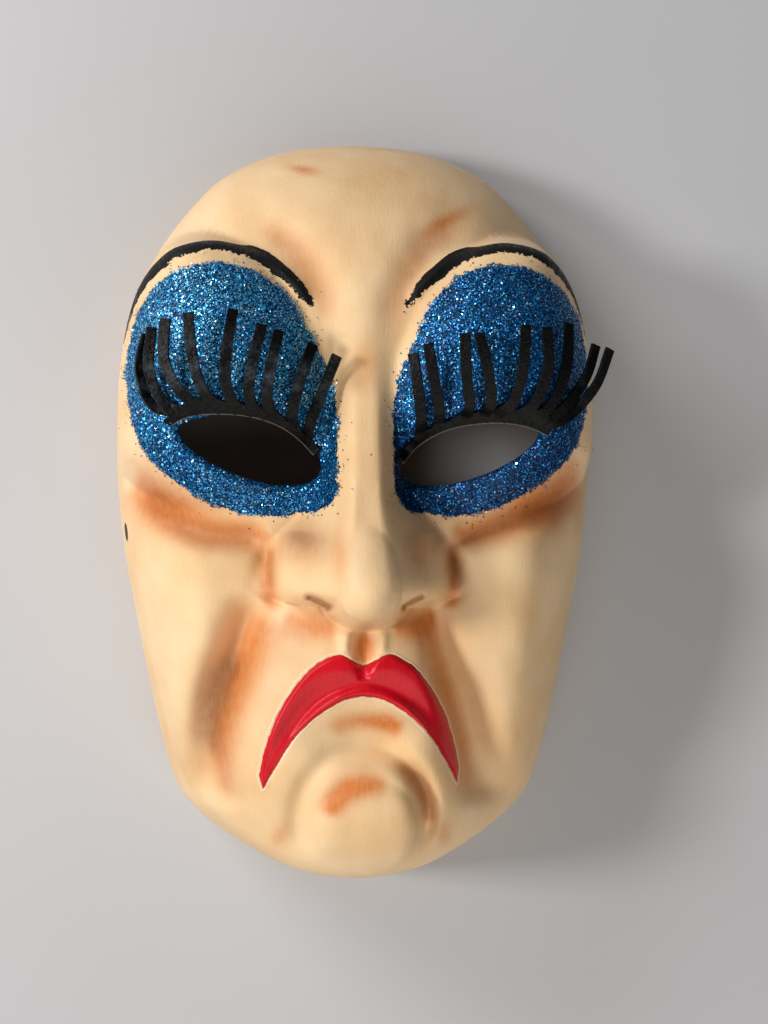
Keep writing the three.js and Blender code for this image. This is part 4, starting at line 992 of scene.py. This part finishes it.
def build_glitter(settings, film, side):
    """One flake is made and then copied over the glued area, each copy turned and tilted at random."""
    sign = -1 if side == "left" else 1
    bpy.ops.object.select_all(action="DESELECT")
    bpy.ops.mesh.primitive_cone_add(vertices=4, radius1=0.5, radius2=0, depth=FLAKE_DEPTH)
    flake = bpy.context.object
    one = coordinates(flake) * (1, 1, -1)
    corners = [list(p.vertices)[::-1] for p in flake.data.polygons]
    bpy.data.objects.remove(flake)

    draw = np.random.default_rng(GLITTER_DRAW[side])
    low, high = GLITTER_BOX
    spots = np.zeros((0, 2))
    while len(spots) < settings.flakes:
        tries = draw.uniform(low, high, (FLAKES_PER_TRY, 2)) * (sign, 1)
        x, y = tries.T
        # None at the very rim, and more where the face is steep, so that they stand as close there
        inside = np.hypot(x, y) < 0.985 * rim_radius(np.arctan2(y, x))
        steep = 1 / np.maximum(0.25, normal_at(x, y)[:, 2]) / 4
        keep = inside & (draw.uniform(0, 1, len(x)) < glitter_chance(x, y, sign) * steep)
        spots = np.vstack([spots, tries[keep]])
    spots = spots[:settings.flakes]
    x, y = spots.T
    n = normal_at(x, y)
    count = len(x)

    # Each lies on the face, tilted and spun by chance: two directions in its plane and one out of it
    out = n + draw.normal(0, settings.flake_tilt, (count, 3))
    out /= np.linalg.norm(out, axis=1, keepdims=True)
    spin = draw.uniform(0, 2 * math.pi, count)
    helper = np.where(np.abs(out[:, 2:3]) < 0.9, [[0.0, 0.0, 1.0]], [[1.0, 0.0, 0.0]])
    a = np.cross(helper, out)
    a /= np.linalg.norm(a, axis=1, keepdims=True)
    b = np.cross(out, a)
    across = a * np.cos(spin)[:, None] + b * np.sin(spin)[:, None]
    other = np.cross(out, across)
    size = settings.flake_width / MM * draw.choice(FLAKE_SIZES, count, p=FLAKE_SHARES)
    lift = draw.uniform(*FLAKE_LIFT, count)
    place = np.stack([x, y, height(x, y)], -1) + n * lift[:, None]
    local = one[None, :, :] * size[:, None, None]
    points = (place[:, None, :] + local[..., 0:1] * across[:, None, :]
              + local[..., 1:2] * other[:, None, :]
              + one[None, :, 2:3] * out[:, None, :])
    starts = np.arange(count) * len(one)
    faces = []
    for corner in corners:
        faces.append((starts[:, None] + np.array(corner)[None, :]).tolist())
    mesh = bpy.data.meshes.new("flakes")
    mesh.from_pydata((points.reshape(-1, 3) * MM).tolist(), [], [f for group in faces for f in group])
    glitter = bpy.data.objects.new("flakes", mesh)
    bpy.context.scene.collection.objects.link(glitter)
    edge = outline_distance(glued(x), y, GLITTER_FINE)

    # It is darker below the eye and, as painted shade, on the right side; dark at the ragged edge,
    # and here and there a flake is silver
    middle = GLITTER_TONE_AND_SHADE[side] - 0.2 * (1 - step(y, 8, 42))
    tone = np.clip(middle + draw.normal(0, 0.25, count), 0, 0.97)
    tone = np.where((edge > 0.8) & (draw.uniform(0, 1, count) < 0.6), 0.03, tone)
    tone = np.where(draw.uniform(0, 1, count) < 0.02, 1.0, tone)
    set_numbers(glitter, "tone", np.repeat(tone, len(one)))
    finish_piece(glitter, f"glitter_{side}", [film])


def band_frame(side, share, offset):
    """Points on the strip at shares of its length and offsets up from its lower edge, with the
    directions out of it."""
    line = curve_through(BANDS[side], 12)
    length = np.concatenate([[0], np.cumsum(np.hypot(*(line[1:] - line[:-1]).T))])
    s = np.clip(share, 0, 1) * length[-1]
    x, y = np.interp(s, length, line[:, 0]), np.interp(s, length, line[:, 1])
    reach = 2.0
    tx = np.interp(s + reach, length, line[:, 0]) - np.interp(s - reach, length, line[:, 0])
    ty = np.interp(s + reach, length, line[:, 1]) - np.interp(s - reach, length, line[:, 1])
    size = np.hypot(tx, ty)
    tx, ty = tx / size, ty / size
    lean_back = 0.42
    behind = 3.4
    top = height(x - behind * ty, y + behind * tx) + LEATHER_LIFT
    point = np.stack([x - ty * offset, y + tx * offset, top - lean_back * (BAND_WIDTH - offset)], -1)
    out = np.stack([ty * lean_back, -tx * lean_back, np.ones_like(x)], -1)
    return point, out / np.linalg.norm(out, axis=1, keepdims=True)


def lash_frame(side, number, t):
    """Middle line of a lash at shares t of its length, with the directions across it."""
    *points, turn = LASHES[side][number]
    line = curve_through(BANDS[side], 12)
    nearest = np.argmin(np.hypot(line[:, 0] - points[0][0], line[:, 1] - points[0][1]))
    place = np.full(1, nearest / (len(line) - 1))
    base, root_out = band_frame(side, place, np.full(1, 0.55 * BAND_WIDTH))
    path = curve_through([tuple(base[0, :2])] + list(points[1:]), 10)
    length = np.concatenate([[0], np.cumsum(np.hypot(*(path[1:] - path[:-1]).T))])

    def at(share):
        s = np.clip(share, 0, 1) * length[-1]
        x, y = np.interp(s, length, path[:, 0]), np.interp(s, length, path[:, 1])
        ground = height(np.clip(x, -LASH_GROUND, LASH_GROUND), y)
        z = ground + LEATHER_LIFT + LASH_RISE * share ** 0.9
        # It starts on the strip, each root a hair higher than the last, and then follows the face
        start = base[0, 2] + 0.12 + 0.03 * number + 14 * share
        settled = step(share, 0.0, 0.22)
        return np.stack([x, y, z * settled + start * (1 - settled)], -1)

    middle = at(t)
    d = at(np.clip(t + 0.03, 0, 1)) - at(np.clip(t - 0.03, 0, 1))
    d /= np.linalg.norm(d, axis=1, keepdims=True)
    surface = normal_at(np.clip(middle[:, 0], -LASH_GROUND, LASH_GROUND), middle[:, 1], 3.0)
    out = surface * 0.5 + np.array([0.0, -0.06, 0.5])
    settled = step(t, 0, 0.35)[:, None]
    out = root_out * (1 - settled) + out * settled
    across = np.cross(d, out)
    across /= np.linalg.norm(across, axis=1, keepdims=True)
    out = np.cross(across, d)
    angle = math.radians(turn) * step(t, 0.02, 0.5)[:, None]
    return middle, across * np.cos(angle) + out * np.sin(angle)


def add_strip(name, columns, rows, place, mark):
    """A flat strip of leather, bent by place(u, v); mark(u, v) is kept as its UV map."""
    strip = add_grid(name, columns, rows)
    u, v = ((coordinates(strip)[:, :2] + 1) / 2).T
    set_coordinates(strip, place(u, v) * MM)
    layer = strip.data.uv_layers.new(name="cut")
    corner = np.empty(len(strip.data.loops), int)
    strip.data.loops.foreach_get("vertex_index", corner)
    layer.data.foreach_set("uv", np.stack(mark(u, v), -1)[corner].ravel())
    return strip


def build_lashes(settings, leather, side):
    """Nine lashes and the strip they stand on are cut flat from leather, bent and joined."""
    width = settings.lash_width / MM

    def band(u, v):
        return band_frame(side, u, v * BAND_WIDTH)[0]

    strips = [add_strip("band", 60, 3, band, lambda u, v: (u, v * 0.2 - 0.2))]
    for number in range(len(LASHES[side])):
        def lash(u, v, n=number):
            middle, across = lash_frame(side, n, v)
            narrow = 1 - 0.06 * v + 0.04 * waves(v * 28, v * 0 + 31 * n, 9, 11)
            return middle + across * ((u - 0.5) * width * narrow)[:, None]

        strips.append(add_strip(f"lash_{number}", 4, 22, lash, lambda u, v, n=number: (u + n, v)))
    only(*strips)
    bpy.ops.object.join()
    fringe = strips[0]
    thick = fringe.modifiers.new("thickness", "SOLIDIFY")
    thick.thickness = settings.lash_thickness
    thick.offset = 0
    bevel = fringe.modifiers.new("cut_edges", "BEVEL")
    bevel.width = 0.12 * MM
    bevel.segments = 2
    bevel.limit_method = "ANGLE"
    bevel.angle_limit = math.radians(45)
    smooth = fringe.modifiers.new("bend", "SUBSURF")
    smooth.levels = smooth.render_levels = 1
    for name in [m.name for m in fringe.modifiers]:
        bpy.ops.object.modifier_apply(modifier=name)
    edit_all(fringe, lambda: bpy.ops.mesh.normals_make_consistent(inside=False))
    bpy.ops.object.shade_smooth_by_angle(angle=math.radians(50))
    finish_piece(fringe, f"lashes_{side}", [leather], f"lash_fringe_{side}")


# The stage

def area_light(name, place, size, power, colour):
    """A square light that faces the middle of the mask."""
    light = bpy.data.lights.new(name, "AREA")
    light.size = size
    light.energy = power
    light.color = colour
    obj = bpy.data.objects.new(name, light)
    bpy.context.scene.collection.objects.link(obj)
    obj.location = place
    obj.rotation_euler = (Vector(LIGHT_TARGET) - Vector(place)).to_track_quat("-Z", "Y").to_euler()


def add_camera():
    """Looks down on the mask, turned a little to its side, as the photograph does."""
    yaw = math.radians(CAMERA_TURN)
    forward = Vector((math.sin(yaw), 0, -math.cos(yaw)))
    right = forward.cross(Vector((0, 1, 0))).normalized()
    up = right.cross(forward)
    camera = bpy.data.cameras.new("camera")
    camera.lens = camera.sensor_width * FOCAL_SHARE
    obj = bpy.data.objects.new("camera", camera)
    bpy.context.scene.collection.objects.link(obj)
    matrix = Matrix((right, up, -forward)).transposed().to_4x4()
    matrix.translation = Vector(CAMERA_TARGET) * MM - forward * CAMERA_DISTANCE
    obj.matrix_world = matrix
    bpy.context.scene.camera = obj


def build_stage(look):
    """A plain pale floor, the lights and the camera."""
    bpy.ops.object.select_all(action="DESELECT")
    bpy.ops.mesh.primitive_plane_add(size=6)
    floor = bpy.context.object
    floor.name = floor.data.name = "floor"
    material, tree, bsdf = start_material("floor_paper", {"Roughness": 0.9})
    where = add(tree, "ShaderNodeTexCoord", out="Object")
    grain = add(tree, "ShaderNodeTexNoise", {"Vector": where, "Scale": per(140), "Detail": 2.0})
    colour = add(tree, "ShaderNodeMix", {0: grain, 6: look["floor"], 7: look["floor_shade"]}, out=2,
                 data_type="RGBA")
    tree.links.new(colour, bsdf.inputs["Base Color"])
    floor.data.materials.append(material)
    add_camera()
    for name, (place, size, power, light_colour) in LIGHTS.items():
        area_light(name, place, size, power, light_colour)
    world = bpy.data.worlds.new("room")
    bpy.context.scene.world = world
    world.use_nodes = True
    world.node_tree.nodes["Background"].inputs[0].default_value = ROOM_COLOUR
    world.node_tree.nodes["Background"].inputs[1].default_value = ROOM_LIGHT
    bpy.context.scene.view_settings.view_transform = "Standard"


# The add-on

LOOK = {
    "cream": ("#F2D1A4", "Cream", "Base paint of the face"),
    "cream_deep": ("#E7BF8C", "Deep cream", "Darker patches of the base paint"),
    "cream_pale": ("#F8E2C0", "Pale cream", "Brush lines and edges where the paint is thin"),
    "orange": ("#D07022", "Orange", "Dry-brushed shading"),
    # Brown in the folds, also painted shade there, in the nostrils and right of a wing and the chin
    "sienna_and_shade": ("#82481C", "Sienna", "Paint settled in the folds"),
    "lip_red": ("#D20E22", "Lip red", "Lips"),
    "lip_dark": ("#B80A1A", "Deep lip red", "Brush lines in the lips"),
    "brow_black": ("#060708", "Brow black", "Brows"),
    "brow_worn": ("#0B0C10", "Brow grey", "Brush lines in the brows"),
    "mole": ("#1A1210", "Mole", "Beauty spot on the cheek"),
    "glue_dark": ("#0A1E38", "Dark glue", "Tinted glue in the gaps between flakes"),
    "glue_blue": ("#124070", "Blue glue", "Tinted glue under the glitter"),
    "film_navy": ("#04264F", "Navy film", "Darkest flakes"),
    "film_blue": ("#0A68B8", "Blue film", "Most flakes"),
    "film_azure": ("#2AA6E6", "Azure film", "Lighter flakes"),
    "film_cyan": ("#6AD6F2", "Cyan film", "Brightest blue flakes"),
    "film_silver": ("#CDEEFF", "Silver film", "White flashes"),
    "leather_black": ("#050607", "Leather", "Lashes"),
    # Grey painted sheen half way along the lashes, mostly on the left
    "leather_sheen": ("#4E5761", "Worn leather", "Rubbed places half way along"),
    "leather_edge": ("#7A7770", "Leather edge", "Raw lower edge of the strip"),
    "inside_black": ("#05070B", "Inside black", "Paint inside the mask"),
    "inside_worn": ("#0E1116", "Inside grey", "Thin places in the paint inside"),
    "floor": ("#C4C5C9", "Floor", "Pale floor"),
    "floor_shade": ("#BDBEC2", "Floor shade", "Slight unevenness of the floor"),
}


class MaskColours(bpy.types.PropertyGroup):
    """Colours of the paint, glitter and leather."""


for key, (code, title, words) in LOOK.items():
    MaskColours.__annotations__[key] = bpy.props.FloatVectorProperty(
        name=title, description=words, subtype="COLOR", size=4, min=0, max=1, default=linear(code))


class MaskSettings(bpy.types.PropertyGroup):
    """Sizes that a maker would change."""

    lash_width: bpy.props.FloatProperty(
        name="Lash width", description="Width of one lash", default=LASH_WIDTH * MM, unit="LENGTH")
    lash_thickness: bpy.props.FloatProperty(
        name="Leather", description="Thickness of the leather", default=LASH_THICK * MM, unit="LENGTH")
    flake_width: bpy.props.FloatProperty(
        name="Flake", description="Width of a middling glitter flake", default=0.54 * MM, unit="LENGTH")
    flake_tilt: bpy.props.FloatProperty(
        name="Flake tilt", description="How unevenly the flakes lie", default=0.26)
    flakes: bpy.props.IntProperty(
        name="Flakes", description="Glitter flakes round each eye", default=30000)
    face_columns: bpy.props.IntProperty(
        name="Columns", description="Squares across the face before it is refined", default=150)
    face_rows: bpy.props.IntProperty(
        name="Rows", description="Squares along the face before it is refined", default=196)
    colours: bpy.props.PointerProperty(type=MaskColours)


def look_of(settings):
    """The colours as they stand in the panel, by name."""
    return {key: tuple(getattr(settings.colours, key)) for key in LOOK}


class MASK_OT_shell(bpy.types.Operator):
    """Adds the hollow papier-mache face with its painted features"""

    bl_idname = "mask.shell"
    bl_label = "Papier-mache face"

    def execute(self, context):
        settings = context.scene.stage_mask
        build_shell(settings, look_of(settings))
        return {"FINISHED"}


class MASK_OT_glitter(bpy.types.Operator):
    """Adds the glitter round both eyes"""

    bl_idname = "mask.glitter"
    bl_label = "Glitter"

    def execute(self, context):
        settings = context.scene.stage_mask
        film = glitter_film(look_of(settings))
        for side in ("left", "right"):
            build_glitter(settings, film, side)
        return {"FINISHED"}


class MASK_OT_lashes(bpy.types.Operator):
    """Adds the leather lashes over both eyes"""

    bl_idname = "mask.lashes"
    bl_label = "Leather lashes"

    def execute(self, context):
        settings = context.scene.stage_mask
        leather = lash_leather(look_of(settings))
        for side in ("left", "right"):
            build_lashes(settings, leather, side)
        return {"FINISHED"}


class MASK_OT_stage(bpy.types.Operator):
    """Adds the pale floor, the soft light and the camera"""

    bl_idname = "mask.stage"
    bl_label = "Floor, light and camera"

    def execute(self, context):
        build_stage(look_of(context.scene.stage_mask))
        return {"FINISHED"}


class MASK_PT_panel(bpy.types.Panel):
    """Lists the mask's pieces"""

    bl_label = "Stage mask"
    bl_idname = "MASK_PT_panel"
    bl_space_type = "VIEW_3D"
    bl_region_type = "UI"
    bl_category = "Mask"

    def draw(self, context):
        settings = context.scene.stage_mask
        for name in ("lash_width", "lash_thickness", "flake_width", "flake_tilt", "flakes",
                     "face_columns", "face_rows"):
            self.layout.prop(settings, name)
        for key in LOOK:
            self.layout.prop(settings.colours, key)
        for operator in OPERATORS:
            self.layout.operator(operator.bl_idname)


OPERATORS = (MASK_OT_stage, MASK_OT_shell, MASK_OT_glitter, MASK_OT_lashes)
CLASSES = (MaskColours, MaskSettings) + OPERATORS + (MASK_PT_panel,)


def register():
    for c in CLASSES:
        bpy.utils.register_class(c)
    bpy.types.Scene.stage_mask = bpy.props.PointerProperty(type=MaskSettings)


def unregister():
    del bpy.types.Scene.stage_mask
    for c in reversed(CLASSES):
        bpy.utils.unregister_class(c)


def main():
    """Makes the stage and each piece in order."""
    register()
    bpy.ops.mask.stage()
    bpy.ops.mask.shell()
    bpy.ops.mask.glitter()
    bpy.ops.mask.lashes()


if __name__ == "__main__":
    main()
